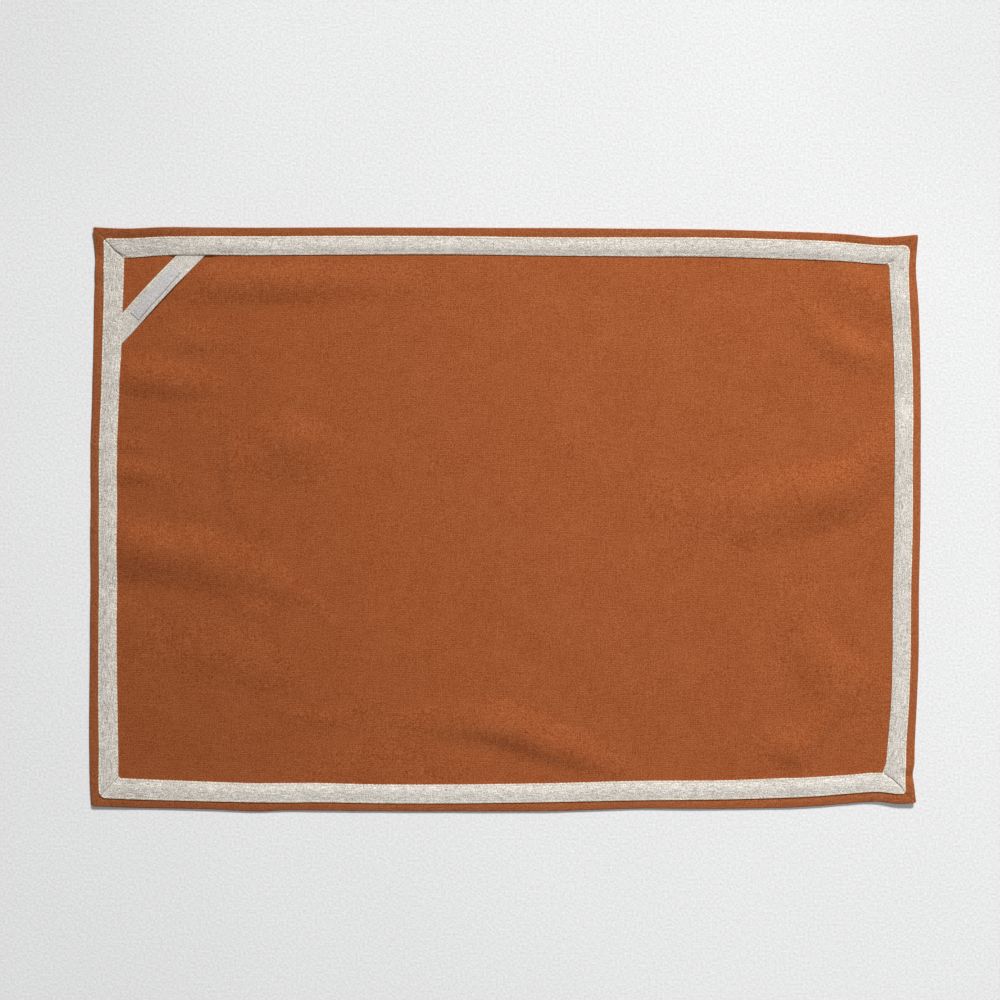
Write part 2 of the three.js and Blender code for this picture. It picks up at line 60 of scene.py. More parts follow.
# Layers of the hem, from the table up: the clearance lies between two layers of cloth
CLOTH_THICK = 0.65 * MM
CLEAR = 0.06 * MM
FLAP_UNDER = CLOTH_THICK + CLEAR
FLAP_TOP = FLAP_UNDER + CLOTH_THICK
FOLD_CENTRE = FLAP_TOP / 2
HEM_TURN = 13.0 * MM

# The line, this deep inside the mat's edge, at which the open cloth's even grid of points ends
INNER_LINE = 18.0 * MM

# Each side, from its left or lower corner on, in millimetres: place along the side, how far the mat's
# edge lies inside the box round the mat, how much hem shows outside the tape, and the tape's width
SideRow = namedtuple("SideRow", "at inset hem tape")
SIDES = {
    "top": [
        (-246.6, 0.1, 6.6, 11.3), (-226.0, 0.9, 6.0, 11.4), (-204.0, 0.1, 5.8, 10.9),
        (-150.0, 0.2, 5.4, 11.2), (-90.0, 0.0, 5.3, 11.1), (-30.0, 0.2, 5.3, 10.8),
        (30.0, 0.4, 5.8, 10.9), (80.0, 0.8, 5.4, 11.3), (120.0, 1.2, 5.1, 11.3),
        (160.0, 2.3, 4.9, 11.5), (190.0, 3.3, 5.0, 11.5), (208.0, 4.5, 5.1, 11.2),
        (224.0, 6.0, 5.0, 11.1), (236.0, 5.5, 5.6, 11.2), (247.8, 4.4, 5.8, 11.3),
    ],
    "bottom": [
        (-247.8, 3.3, 5.3, 12.2), (-226.0, 2.3, 5.1, 12.3), (-178.0, 1.3, 4.8, 11.7),
        (-149.0, 0.0, 5.5, 11.4), (-130.0, 0.6, 4.8, 11.6), (-114.0, 0.6, 5.0, 11.5),
        (-80.0, 0.2, 4.8, 11.3), (-25.0, 0.0, 4.9, 11.3), (30.0, 0.2, 5.5, 11.3),
        (81.0, 1.7, 5.0, 11.6), (130.0, 1.6, 5.6, 11.4), (168.0, 2.2, 6.1, 11.7),
        (187.0, 3.2, 6.0, 11.5), (206.0, 4.8, 5.9, 11.2), (224.0, 5.9, 6.0, 11.3),
        (235.0, 4.7, 6.1, 11.5), (246.3, 5.3, 5.6, 11.5),
    ],
    "left": [
        (-172.0, 1.6, 5.3, 11.8), (-162.0, 0.7, 5.1, 11.9), (-138.0, 0.0, 5.7, 11.6),
        (-105.0, 0.0, 5.3, 11.4), (-67.0, 0.6, 5.0, 10.9), (-29.0, 0.8, 5.0, 10.9),
        (10.0, 0.8, 4.9, 10.9), (46.0, 0.9, 5.0, 10.8), (80.0, 1.9, 5.3, 10.9),
        (105.0, 2.5, 5.3, 11.6), (130.0, 2.8, 5.7, 11.6), (155.0, 3.6, 5.1, 12.1),
        (164.0, 3.2, 5.5, 12.0), (174.8, 2.4, 5.6, 12.0),
    ],
    "right": [
        (-169.4, 3.1, 5.6, 13.2), (-160.0, 4.2, 5.4, 13.1), (-151.5, 4.9, 4.5, 13.4),
        (-146.0, 4.0, 5.2, 11.8), (-140.0, 3.8, 5.3, 11.3), (-110.0, 2.3, 4.9, 10.8),
        (-84.0, 1.3, 5.0, 10.8), (-42.0, 1.0, 4.9, 10.9), (0.0, 0.1, 4.8, 11.1),
        (42.0, 0.0, 5.0, 10.9), (80.0, 0.0, 4.8, 11.1), (117.0, 0.8, 5.4, 10.9),
        (134.0, 1.7, 5.4, 11.4), (151.0, 2.9, 4.4, 11.5), (161.0, 2.4, 4.4, 11.7),
        (170.5, 1.6, 4.9, 11.7),
    ],
}

# Which way each side faces along its own axis, half of the mat that way, and the axis along the side
Facing = namedtuple("Facing", "sign half along")
FACING = {
    "top": Facing(1, WIDTH / 2, 0),
    "bottom": Facing(-1, WIDTH / 2, 0),
    "left": Facing(-1, LENGTH / 2, 1),
    "right": Facing(1, LENGTH / 2, 1),
}

# Corners in the order in which the tape goes round, in millimetres: radius of the tape's outer corner,
# of its inner one and of the cloth's, how high the mat's tip stands, how far from the tip that reaches,
# how deep the tape's mitre is pressed in, how much more at its inner end, and how far its line bows out
Corner = namedtuple("Corner", "upright level round inner_round tip_round rise reach mitre dimple wander")
CORNERS = {
    "top left": Corner("left", "top", 3.0, 0.0, 1.0, 1.8, 22, 0.75, 0.7, 0.6),
    "bottom left": Corner("left", "bottom", 3.6, 1.6, 1.2, 1.1, 32, 0.8, 0.0, 0.1),
    "bottom right": Corner("right", "bottom", 2.6, 0.6, 1.2, 2.1, 34, 0.9, 0.4, 1.5),
    "top right": Corner("right", "top", 4.6, 1.8, 1.4, 0.8, 28, 0.1, 1.0, 0.0),
}
# The power by which a tip's rise grows towards the tip
TIP_CURL = 1.5

# Soft folds where the cloth stands off the table, in millimetres: points along each crest, the rise
# there, and how far its slopes spread to the left and to the right as one goes along it. The sewn
# border is stiffer than the cloth, so that folds grow low where they reach it at the left
Crest = namedtuple("Crest", "x y rise left right")
FOLDS = {
    "left edge": [
        (-249, -12, 0.7, 20, 26), (-237, -13, 1.0, 20, 26), (-228, -15, 3.2, 19, 26), (-219, -17, 4, 18, 25),
        (-190, -21, 3.38, 20, 24), (-168, -27, 2.38, 20, 24), (-145, -35, 1.25, 16, 20),
        (-122, -46, 0.62, 8, 12), (-105, -60, 0.19, 6, 9),
    ],
    "left edge's foot": [(-160, -52, 0.12, 8, 10), (-150, -56, 0.88, 9, 14), (-140, -60, 0.12, 8, 10)],
    "upper left": [
        (-249, 84, 0.3, 17, 13), (-237, 84, 0.45, 17, 13), (-228, 84, 1.7, 17, 13), (-219, 84, 2.12, 17, 13),
        (-200, 82, 2, 16, 13), (-184, 81, 1.25, 13, 12), (-170, 80, 0.12, 10, 8),
    ],
    "under the top tape": [
        (-190, 143, 0.62, 14, 16), (-168, 142, 1.75, 14, 16), (-135, 142, 2.25, 14, 15),
        (-104, 142, 1.25, 14, 14), (-60, 142, 0.75, 14, 12), (-36, 142, 0.12, 12, 10),
    ],
    "beside the strap": [(-202, 108, 0.12, 10, 9), (-186, 107, 1.1, 14, 9), (-168, 104, 0.12, 8, 8)],
    "left dome": [
        (-150, 46, 0.62, 18, 26), (-127, 47, 2.4, 19, 30), (-106, 41, 1.12, 18, 22), (-92, 36, 0.12, 16, 16),
    ],
    "dome crease": [
        (-163, 52, 0.12, 8, 4.5), (-166, 38, 1.15, 12, 4.2), (-167, 27, 1.2, 12, 4.2),
        (-166, 16, 0.8, 12, 4.2), (-160, -2, 0.12, 8, 4.5),
    ],
    "middle left": [
        (-249, 28, 0.25, 9, 10), (-237, 28, 0.35, 9, 10), (-228, 28, 1.2, 9, 9), (-221, 28, 1.38, 9, 9),
        (-208, 26, 0.5, 8, 10), (-196, 24, 0.12, 8, 8),
    ],
    "upper middle left": [
        (-249, 45, 0.2, 7, 6), (-237, 45, 0.25, 7, 6), (-226, 45, 0.62, 7, 6), (-212, 46, 0.12, 6, 6),
    ],
    "lower left": [
        (-200, -80, 0.12, 20, 18), (-172, -84, 1.12, 28, 19), (-150, -90, 1.0, 26, 17),
        (-132, -94, 0.12, 16, 13),
    ],
    "lower left edge": [(-249, -60, 0.6, 24, 30), (-220, -66, 0.88, 24, 30), (-200, -72, 0.12, 20, 24)],
    "lower left line": [
        (-144, -110, 0.06, 4, 5), (-128, -115, 0.38, 5, 8), (-104, -119, 0.5, 5, 9),
        (-86, -112, 0.38, 5, 9), (-66, -105, 0.06, 4, 8),
    ],
    "bottom crease": [
        (-62, -122, 0.38, 12, 9), (-40, -122, 0.75, 16, 12), (-18, -124, 2, 20, 13), (4, -127, 3, 20, 14),
        (24, -135, 2.62, 18, 13), (44, -141, 1.75, 15, 12), (66, -150, 0.62, 12, 8),
    ],
    "right bow": [
        (92, 8, 0.25, 20, 20), (120, 8, 0.88, 24, 24), (150, 7, 2, 27, 28), (168, 10, 3, 24, 28),
        (184, 14, 3.88, 22, 26), (200, 18, 4, 22, 25), (213, 26, 3.5, 19, 23), (224, 39, 2.62, 16, 21),
        (236, 56, 1.5, 14, 18),
    ],
    "upper right": [
        (174, 130, 0.25, 14, 14), (186, 117, 1.12, 13, 15), (198, 106, 1.75, 13, 15),
        (212, 99, 1.5, 13, 14), (236, 96, 0.5, 12, 14),
    ],
    "top right": [(196, 160, 0.75, 16, 16), (210, 140, 1.25, 16, 20), (236, 132, 1.25, 16, 20)],
    "lower right": [
        (176, -36, 0.25, 14, 18), (178, -58, 1.25, 15, 22), (186, -80, 2.38, 16, 26),
        (200, -94, 2, 19, 26), (222, -104, 0.88, 20, 22),
    ],
    "right corner": [
        (199, -108, 0.38, 10, 12), (192, -118, 2.1, 11, 12), (184, -131, 2.5, 11, 12),
        (178, -144, 2, 10, 11), (174, -158, 1.0, 10, 9),
    ],
    "top left pinch": [(-250, 149, 1.0, 8, 8), (-243, 149, 1.0, 8, 8), (-234, 149, 0.1, 6, 6)],
    "top hem ripple": [
        (-240, 176, 0.1, 14, 12), (-224, 176, 1.6, 14, 14), (-208, 176, 1.8, 14, 14),
        (-193, 176, 0.9, 12, 12), (-184, 176, 0.1, 10, 10),
    ],
    "top hem swell": [
        (-198, 166, 0.1, 9, 9), (-184, 166, 0.6, 9, 9), (-170, 166, 0.5, 9, 9), (-156, 166, 0.1, 9, 9),
    ],
    "top right pinch": [
        (196, 174, 0.1, 5, 7), (207, 173, 0.8, 5, 7), (216, 172, 0.5, 5, 7), (226, 172, 0.1, 5, 5),
    ],
    "right swell": [(252, -149, 1.2, 18, 20), (238, -149, 0.9, 18, 20), (224, -150, 0.1, 14, 16)],
    "right pinch": [
        (252, -154, -1.1, 5, 5), (242, -154, -1.0, 5, 5), (236, -153, -0.3, 5, 5), (231, -152, -0.05, 5, 5),
    ],
    "bottom hem lift": [(198, -176, 0.1, 9, 9), (207, -176, 0.7, 9, 9), (216, -176, 0.1, 9, 9)],
    "bottom pinch": [
        (210, -164, 0.1, 8, 8), (221, -164.5, 0.6, 8, 8), (232, -165, 0.6, 8, 8), (240, -166, 0.1, 7, 7),
    ],
    "bottom tape swell": [
        (-138, -152, 0.05, 20, 15), (-112, -154, 0.4, 26, 17), (-76, -154, 0.75, 26, 17),
        (-50, -153, 0.4, 26, 17), (-32, -152, 0.05, 20, 15),
    ],
    "bottom right": [(154, -136, 0.38, 16, 12), (170, -138, 1.9, 18, 13), (182, -139, 0.38, 14, 12)],
}

# The strap's width, its centre line from the top to the left, how deep its ends lie inside the mat's
# edge, and where the border tape is lifted over them, past a ramp on either side
STRAP_WIDTH = 12.4 * MM
STRAP_TOP = np.array([-188.0, 158.6]) * MM
STRAP_LEFT = np.array([-228.9, 115.0]) * MM
STRAP_TUCK = 13.4 * MM
LIFT_RAMP = 4.0 * MM
LIFT_OVER_STRAP = {"top": (-198.0 * MM, -175.4 * MM), "left": (101.4 * MM, 125.8 * MM)}
LABEL_MIDDLE = np.array([-209.2, 135.9]) * MM


def length_property(name, description, default):
    return FloatProperty(name=name, description=description, default=default, unit="LENGTH")


def power_property(name, description, default):
    return FloatProperty(name=name, description=description, default=default, unit="POWER")


def colour_property(name, description, default):
    return FloatVectorProperty(
        name=name, description=description, default=default, subtype="COLOR", min=0, max=1
    )


class ClothSizes(PropertyGroup):
    hem_turn: length_property("Hem turn", "How far the cloth turns back over itself", HEM_TURN)
    cell: length_property("Cell", "Size of the mesh's cells over the open cloth", 2.35 * MM)
    unevenness: length_property("Unevenness", "Height of the swells that a used cloth keeps", 0.2 * MM)
    weave: length_property("Weave", "Distance from one yarn of the cloth to the next", 1.0 * MM)


class TapeSizes(PropertyGroup):
    thick: length_property("Thickness", "Thickness of the tape at its stitching", 0.7 * MM)
    pillow: length_property("Pillow", "How far it swells between its two rows of stitches", 0.2 * MM)
    step_start: length_property("Step", "Depth inside the edge where it steps down off the hem", 11.5 * MM)
    weave: length_property("Weave", "Distance from one yarn of the tape to the next", 0.75 * MM)


class StrapSizes(PropertyGroup):
    width: length_property("Width", "Width of the strap", STRAP_WIDTH)
    arch: length_property("Arch", "How far the strap's middle stands off the cloth", 0.9 * MM)
    label_length: length_property("Label length", "Length of the label", 38.4 * MM)
    label_width: length_property("Label width", "Width of the label", 6.8 * MM)
    label_thick: length_property("Label thickness", "Thickness of the label", 0.38 * MM)
    label_angle: FloatProperty(
        name="Label angle",
        description="Angle of the label's long side to the mat's long side",
        default=math.radians(48.0),
        subtype="ANGLE",
    )


class StitchSizes(PropertyGroup):
    inset: length_property("Inset", "Distance of a row of stitches from the tape's edge", 0.9 * MM)
    pitch: length_property("Pitch", "Distance from one stitch to the next", 2.3 * MM)
    thread: length_property("Thread", "Diameter of the sewing thread", 0.36 * MM)
    seed: IntProperty(
        name="Seed",
        description="Start of the random draws for the stitches' small irregularities",
        default=7,
    )


class StageSizes(PropertyGroup):
    camera_height: length_property("Camera height", "Height of the camera above the table", 1.2)
    view_width: length_property("View width", "Width of the picture at the table", 0.6)
    camera_x: length_property("Camera X", "Place of the camera along the mat's long side", -3.05 * MM)
    camera_y: length_property("Camera Y", "Place of the camera across the mat", 11.6 * MM)
    window_power: power_property("Window", "Power of the large soft light beyond the far side", 397.0)
    lamp_power: power_property("Lamp", "Power of the smaller soft light over the mat", 2.6)
    fill: FloatProperty(
        name="Fill", description="Strength of the even light from all round", default=0.1
    )


class Finishes(PropertyGroup):
    rust: colour_property("Rust", "Colour of the cloth", (0.348, 0.0905, 0.0232))
    linen: colour_property("Linen", "Colour of the tape", (0.662, 0.619, 0.560))
    fleck: colour_property("Fleck", "Colour of the darker fibres in the tape", (0.28, 0.243, 0.225))
    cream: colour_property("Cream", "Colour of the sewing thread and selvedges", (0.80, 0.71, 0.58))
    label: colour_property("Label grey", "Colour of the label", (0.56, 0.535, 0.535))
    plaster: colour_property("Plaster", "Colour of the table under the mat", (0.805, 0.807, 0.812))


SIZE_GROUPS = {
    "placemat_cloth": ClothSizes,
    "placemat_tape": TapeSizes,
    "placemat_strap": StrapSizes,
    "placemat_stitch": StitchSizes,
    "placemat_stage": StageSizes,
    "placemat_finish": Finishes,
}


def smoothstep(value, low, high):
    share = np.clip((value - low) / (high - low), 0, 1)
    return share * share * (3 - 2 * share)


def lerp(a, b, share):
    return a + (b - a) * share


def curve_through(places, values, at):
    """Reads columns of values between their places on a smooth curve, level beyond its ends."""
    slopes = np.diff(values, axis=0) / np.diff(places)[:, None]
    slopes = (np.vstack([slopes[:1], slopes]) + np.vstack([slopes, slopes[-1:]])) / 2
    at = np.clip(at, places[0], places[-1])
    n = np.clip(np.searchsorted(places, at) - 1, 0, len(places) - 2)
    step = (places[n + 1] - places[n])[..., None]
    t = (at - places[n])[..., None] / step
    from_start = (1 + 2 * t) * (1 - t) ** 2 * values[n] + t * (1 - t) ** 2 * step * slopes[n]
    to_end = t * t * (3 - 2 * t) * values[n + 1] + t * t * (t - 1) * step * slopes[n + 1]
    return from_start + to_end


SIDE_VALUES = {side: np.array(rows) * MM for side, rows in SIDES.items()}

# Rounds in which a point that hangs on two wandering lines settles
PASSES = 6


def read_side(side, at):
    """Inset of the mat's edge, hem and tape width at places along a side."""
    table = SIDE_VALUES[side]
    read = curve_through(table[:, 0], table[:, 1:], np.asarray(at, float))
    return SideRow(at, read[..., 0], read[..., 1], read[..., 2])


def line_inside(side, at, depth):
    """The coordinate across a side of the line some depth inside the mat's edge. The depth is a number
    or a function of the side's row."""
    row = read_side(side, at)
    deep = depth(row) if callable(depth) else depth
    return FACING[side].sign * (FACING[side].half - row.inset - deep)


def plan_points(side, at, away):
    """Points from their coordinates along a side and across it."""
    return np.stack([at, away] if FACING[side].along == 0 else [away, at], -1)


def corner_point(corner, depth):
    """The point where the lines of a corner's two sides at one depth cross."""
    x, y = (FACING[side].sign * FACING[side].half for side in (corner.upright, corner.level))
    for _ in range(PASSES):
        x = line_inside(corner.upright, y, depth)
        y = line_inside(corner.level, x, depth)
    return np.array([float(x), float(y)])


def inner_points(along, across):
    """Points of the cloth inside the inner line, from their shares along and across."""
    x, y = lerp(-LENGTH / 2, LENGTH / 2, along), lerp(-WIDTH / 2, WIDTH / 2, across)
    for _ in range(PASSES):
        x = lerp(line_inside("left", y, INNER_LINE), line_inside("right", y, INNER_LINE), along)
        y = lerp(line_inside("bottom", x, INNER_LINE), line_inside("top", x, INNER_LINE), across)
    return x, y


# How far apart, at most, the points of a smoothed crest lie
CREST_STEP = 7.0 * MM


def smooth_crest(points):
    """More points along a crest, on a smooth curve through those of the table."""
    table = np.array(points) * MM
    along = np.concatenate([[0], np.cumsum(np.hypot(*np.diff(table[:, :2], axis=0).T))])
    count = math.ceil(along[-1] / CREST_STEP)
    curve = curve_through(along, table, np.linspace(0, along[-1], count + 1))
    return [Crest(*point) for point in curve]


def fold_rise(line, x, y):
    """How high a fold's slopes stand: nought beyond their spread."""
    best, rise = np.ones_like(x), np.zeros_like(x)
    for a, b in zip(line, line[1:]):
        run = np.array([b.x - a.x, b.y - a.y])
        dx, dy = x - a.x, y - a.y
        t = np.clip((dx * run[0] + dy * run[1]) / (run @ run), 0, 1)
        away = np.hypot(dx - t * run[0], dy - t * run[1])
        on_left = run[0] * dy - run[1] * dx > 0
        share = away / np.where(on_left, lerp(a.left, b.left, t), lerp(a.right, b.right, t))
        nearer = share < best
        best = np.where(nearer, share, best)
        rise = np.where(nearer, lerp(a.rise, b.rise, t), rise)
    return rise * (1 - best**2) ** 2


CREST_LINES = [smooth_crest(points) for points in FOLDS.values()]

# Small swells of the whole cloth: wave length across X and Y in millimetres, phase, share of the height.
# They stand on a level of their own, and below nought the cloth lies on the table
Swell = namedtuple("Swell", "x y phase share")
SWELLS = [
    Swell(97, 61, 0.4, 0.5),
    Swell(-73, 112, 1.9, 0.4),
    Swell(58, -47, 3.1, 0.3),
    Swell(41, 83, 5.0, 0.25),
    Swell(-36, 39, 2.2, 0.18),
    Swell(61, -27, 0.9, 0.14),
    Swell(29, 33, 4.1, 0.12),
    Swell(-23, 51, 5.7, 0.1),
]
SWELL_LEVEL = 0.6
SWELL_GAIN = 0.6


def rise_at(x, y, unevenness):
    """Height of the cloth's underside above the table."""
    total = sum(fold_rise(line, x, y) for line in CREST_LINES)
    for corner in CORNERS.values():
        tip = corner_point(corner, 0)
        share = np.minimum(1, np.hypot(x - tip[0], y - tip[1]) / (corner.reach * MM))
        total = total + corner.rise * MM * (1 - share) ** TIP_CURL
    waves = sum(s.share * np.sin(2 * math.pi * (x / s.x + y / s.y) / MM + s.phase) for s in SWELLS)
    return np.maximum(0, total) + unevenness * np.maximum(0, SWELL_LEVEL + SWELL_GAIN * waves)


def standing(points, height, cloth):
    """Points of the plan at a height over the cloth's underside."""
    z = rise_at(points[:, 0], points[:, 1], cloth.unevenness) + height
    return np.column_stack([points, z])


def rounded_corner(points, tip, radius):
    """Draws the points on two lines that meet at a tip in on to an arc. Each lies near one of them."""
    if radius <= 0:
        return points
    axis_a, axis_b = np.array([-np.sign(tip[0]), 0.0]), np.array([0.0, -np.sign(tip[1])])
    away = points - tip
    along_a, along_b = away @ axis_a, away @ axis_b
    on_a = along_a > along_b
    run = np.where(on_a, along_a, along_b)
    share = np.clip(1 - run / radius, 0, 1)
    angle = share * math.pi / 4
    main = np.where(on_a[..., None], axis_a, axis_b)
    side = np.where(on_a[..., None], axis_b, axis_a)
    arc = (
        tip
        + radius * (axis_a + axis_b)
        - radius * (np.cos(angle)[..., None] * side + np.sin(angle)[..., None] * main)
    )
    return np.where((share > 0)[..., None], arc + (away - run[..., None] * main), points)


def new_piece(name, points, faces):
    mesh = bpy.data.meshes.new(name)
    mesh.from_pydata(points.reshape(-1, 3).tolist(), [], faces)
    mesh.shade_smooth()
    piece = bpy.data.objects.new(name, mesh)
    bpy.context.scene.collection.objects.link(piece)
    return piece


def section(face_part, back_part):
    """Rows that go once round a sheet: along its face, and back along its other side."""
    return np.concatenate([face_part, back_part[:, ::-1]], axis=1)


def sheet_body(name, face, back, after=None, before=None):
    """A closed sheet of cloth from two grids of points, its face and its back, with the same rows. after
    and before are maps of the same section, as the quads past a row and the quads up to it read them."""
    points = section(face, back)
    rows, columns, around = face.shape[0], face.shape[1], points.shape[1]
    number = np.arange(rows * around).reshape(rows, around)
    beside = np.roll(number, -1, axis=1)
    faces = np.stack([number[:-1], number[1:], beside[1:], beside[:-1]], -1).reshape(-1, 4).tolist()
    if columns == back.shape[1]:
        upper, lower = np.arange(columns), around - 1 - np.arange(columns)
        cap = np.stack([upper[:-1], upper[1:], lower[1:], lower[:-1]], -1)
    else:
        cap = np.arange(around)[None]
    far_cap = cap[:, ::-1]
    faces += cap.tolist() + ((rows - 1) * around + far_cap).tolist()
    piece = new_piece(name, points, faces)
    if after is not None:
        before = after if before is None else before
        after_beside, before_beside = np.roll(after, -1, axis=1), np.roll(before, -1, axis=1)
        quads = np.stack([after[:-1], before[1:], before_beside[1:], after_beside[:-1]], 2)
        ends = [after[0][cap.ravel()], before[-1][far_cap.ravel()]]
        places = np.concatenate([quads.reshape(-1, 2), *ends]).astype(np.float32)
        piece.data.uv_layers.new(name="run").uv.foreach_set("vector", places.ravel())
    return piece


def mapped_sheet(name, grid_of):
    """A closed sheet from the points and maps of its top and of its underside."""
    top, *maps = grid_of(True)
    under, *maps_under = grid_of(False)
    return sheet_body(name, top, under, *(section(*pair) for pair in zip(maps, maps_under)))


# Rings of the cloth between the hem's raw edge and its fold, and under the hem: depths in millimetres
FLAP_DEPTHS = (13.0, 11.0, 9.0, 7.2, 6.2, 5.4, 4.6, 3.8, 3.1, 2.4, 1.7)
BASE_DEPTHS = (2.2, 4.0)
FOLD_STEPS = 10
# The hem swells beside its fold and sinks towards the tape: how much, and between which depths
HEM_BULGE = 0.09 * MM
HEM_BULGES_OVER = (1.1 * MM, 3.0 * MM)
HEM_SINK = 0.18 * MM
HEM_SINKS_OVER = (2.6 * MM, 5.2 * MM)
# The groove of the hem's mitres, and the rings that have it
HEM_GROOVE = 0.35 * MM
GROOVE_WIDTH = 0.5 * MM
GROOVE_RINGS = len(FLAP_DEPTHS) + FOLD_STEPS // 3
# The groove of a row of stitches in the underside, and how far its slopes reach
UNDER_GROOVE = 0.22 * MM
UNDER_GROOVE_SIDE = 0.6 * MM
# The mat's tips are rounded in full down to this depth inside its edge, and less over the next stretch
ROUND_DEPTH = 1.0 * MM
ROUND_FADE = 5.0 * MM
# How far a mitre lies from a point beside it, by their distance along the edge
DIAGONAL = math.sqrt(0.5)

Ring = namedtuple("Ring", "face_depth face_height back_depth back_height")


def hem_rings(cloth, stitch):
    """Rings from the hem's raw edge round the fold and in under the hem, with their depth inside the
    mat's edge and height for the face that lies inside the fold and for the back that shows."""

    def flap(depth):
        share = smoothstep(depth, *HEM_BULGES_OVER) - 2 * smoothstep(depth, *HEM_SINKS_OVER)
        bulge = HEM_BULGE * max(share, 0) + HEM_SINK * min(share, 0)
        return Ring(depth, FLAP_UNDER, depth, FLAP_TOP + bulge)

    def fold(angle):
        inner, outer = CLEAR / 2, FOLD_CENTRE
        return Ring(
            FOLD_CENTRE - inner * math.cos(angle),
            FOLD_CENTRE + inner * math.sin(angle),
            FOLD_CENTRE - outer * math.cos(angle),
            FOLD_CENTRE + outer * math.sin(angle),
        )

    def base(depth, lifted=0.0):
        return Ring(depth, CLOTH_THICK, depth, lifted)

    def stitch_rings(depth_of):
        for aside, lifted in ((-UNDER_GROOVE_SIDE, 0.0), (0.0, UNDER_GROOVE), (UNDER_GROOVE_SIDE, 0.0)):
            yield base(lambda row, aside=aside: depth_of(row) + aside, lifted)

    rings = [flap(min(depth * MM, cloth.hem_turn)) for depth in FLAP_DEPTHS]
    rings += [fold(math.pi * (0.5 - step / FOLD_STEPS)) for step in range(FOLD_STEPS + 1)]
    rings += [base(depth * MM) for depth in BASE_DEPTHS]
    rings += stitch_rings(lambda row: row.hem + stitch.inset)
    rings += stitch_rings(lambda row: row.hem + row.tape - stitch.inset)
    return rings


def ring_line(side, depth, foot, shares):
    """Points of a ring along one side of the mat, and how near each is to a mitre. Between the corners
    they keep to the places of foot, and beside each corner to shares of the way from its tip."""
    facing = FACING[side]
    corners = [corner for corner in CORNERS.values() if side in (corner.upright, corner.level)]
    tips = [corner_point(corner, depth) for corner in corners]
    starts = [corner_point(corner, INNER_LINE) for corner in corners]
    ends = [lerp(tip[facing.along], start[facing.along], shares) for tip, start in zip(tips, starts)]
    if ends[0][0] > ends[1][0]:
        ends.reverse()
    at = np.concatenate([ends[0], foot, ends[1][::-1]])
    away = line_inside(side, at, depth)
    points = plan_points(side, at, away)
    reach = abs(facing.sign * facing.half - away).min()
    dip = np.zeros(len(at))
    for tip, corner in zip(tips, corners):
        radius = corner.tip_round * MM * np.clip(1 - (reach - ROUND_DEPTH) / ROUND_FADE, 0, 1)
        dip += np.exp(-((abs(at - tip[facing.along]) * DIAGONAL / GROOVE_WIDTH) ** 2))
        points = rounded_corner(points, tip, radius)
    return points, dip


def cloth_grid(cloth, stitch, is_face):
    """Points of one side of the cloth: rings round the edge, and an even grid inside them."""
    rings = hem_rings(cloth, stitch)
    edge = len(rings)
    inner = [round((size - 2 * INNER_LINE) / cloth.cell) for size in (LENGTH, WIDTH)]
    count = [n + 2 * edge for n in inner]
    grid = np.zeros((count[0] + 1, count[1] + 1, 3))
    groove = np.zeros(grid.shape[:2])
    shares = [np.linspace(0, 1, n + 1) for n in inner]
    middle = tuple(slice(edge, n - edge + 1) for n in count)
    grid[middle + (0,)], grid[middle + (1,)] = inner_points(*np.meshgrid(*shares, indexing="ij"))
    grid[middle + (2,)] = CLOTH_THICK if is_face else 0.0

    for side, facing in FACING.items():
        along, across = facing.along, 1 - facing.along
        far = 1.0 * (facing.sign > 0)
        foot = inner_points(*((shares[0], far) if along == 0 else (far, shares[1])))[along]
        for number, ring in enumerate(rings):
            depth = ring.face_depth if is_face else ring.back_depth
            points, dip = ring_line(side, depth, foot, np.arange(edge - number) / (edge - number))
            line = [slice(number, count[along] - number + 1)] * 2
            line[across] = number if facing.sign < 0 else count[across] - number
            line = tuple(line)
            grid[line + (slice(0, 2),)] = points
            grid[line + (2,)] = ring.face_height if is_face else ring.back_height
            has_groove = number < GROOVE_RINGS and not is_face
            groove[line] = np.maximum(groove[line], dip) if has_groove else 0
    grid[..., 2] += rise_at(grid[..., 0], grid[..., 1], cloth.unevenness) - HEM_GROOVE * groove
    return grid


# Legs of the tape in the order in which it is sewn on, each with the corners where it starts and ends
Leg = namedtuple("Leg", "side start end")
LEGS = [
    Leg("left", "top left", "bottom left"),
    Leg("bottom", "bottom left", "bottom right"),
    Leg("right", "bottom right", "top right"),
    Leg("top", "top right", "top left"),
]
# The tape's own ends meet here with a small gap, which opens towards the inner end of the mitre
CUT_ENDS = {("left", "top left"), ("top", "top left")}
CUT_GAP = 0.12 * MM
CUT_OPENED = 4.0

# Rows across a tape: a fixed distance from an edge in millimetres, and the share of the width
TapeRow = namedtuple("TapeRow", "fixed share")
EDGE_ROWS = (0.0, 0.12, 0.35, 0.7, 1.0, 1.3, 1.6, 2.1, 3.0)
TOP_ROWS = (
    [TapeRow(fixed, 0.0) for fixed in EDGE_ROWS]
    + [TapeRow(0.0, share) for share in (0.36, 0.5, 0.64)]
    + [TapeRow(-fixed, 1.0) for fixed in reversed(EDGE_ROWS)]
)
UNDER_ROWS = [TapeRow(0.0, 0.0), TapeRow(0.0, 0.68), TapeRow(-1.5, 1.0), TapeRow(0.0, 1.0)]
# The tape's nominal width in millimetres, by which a fixed distance counts as a share of the width
NOMINAL_WIDTH = 12
# Points along a leg: in the fan at each of its corners, and between one stitch and the next
CORNER_STATIONS = 22
STATIONS_PER_STITCH = 4

# The tape lies this far over the cloth, and steps down off the hem's raw edge over this length
SEWN_GAP = 0.05 * MM
STEP_LENGTH = 5.0 * MM
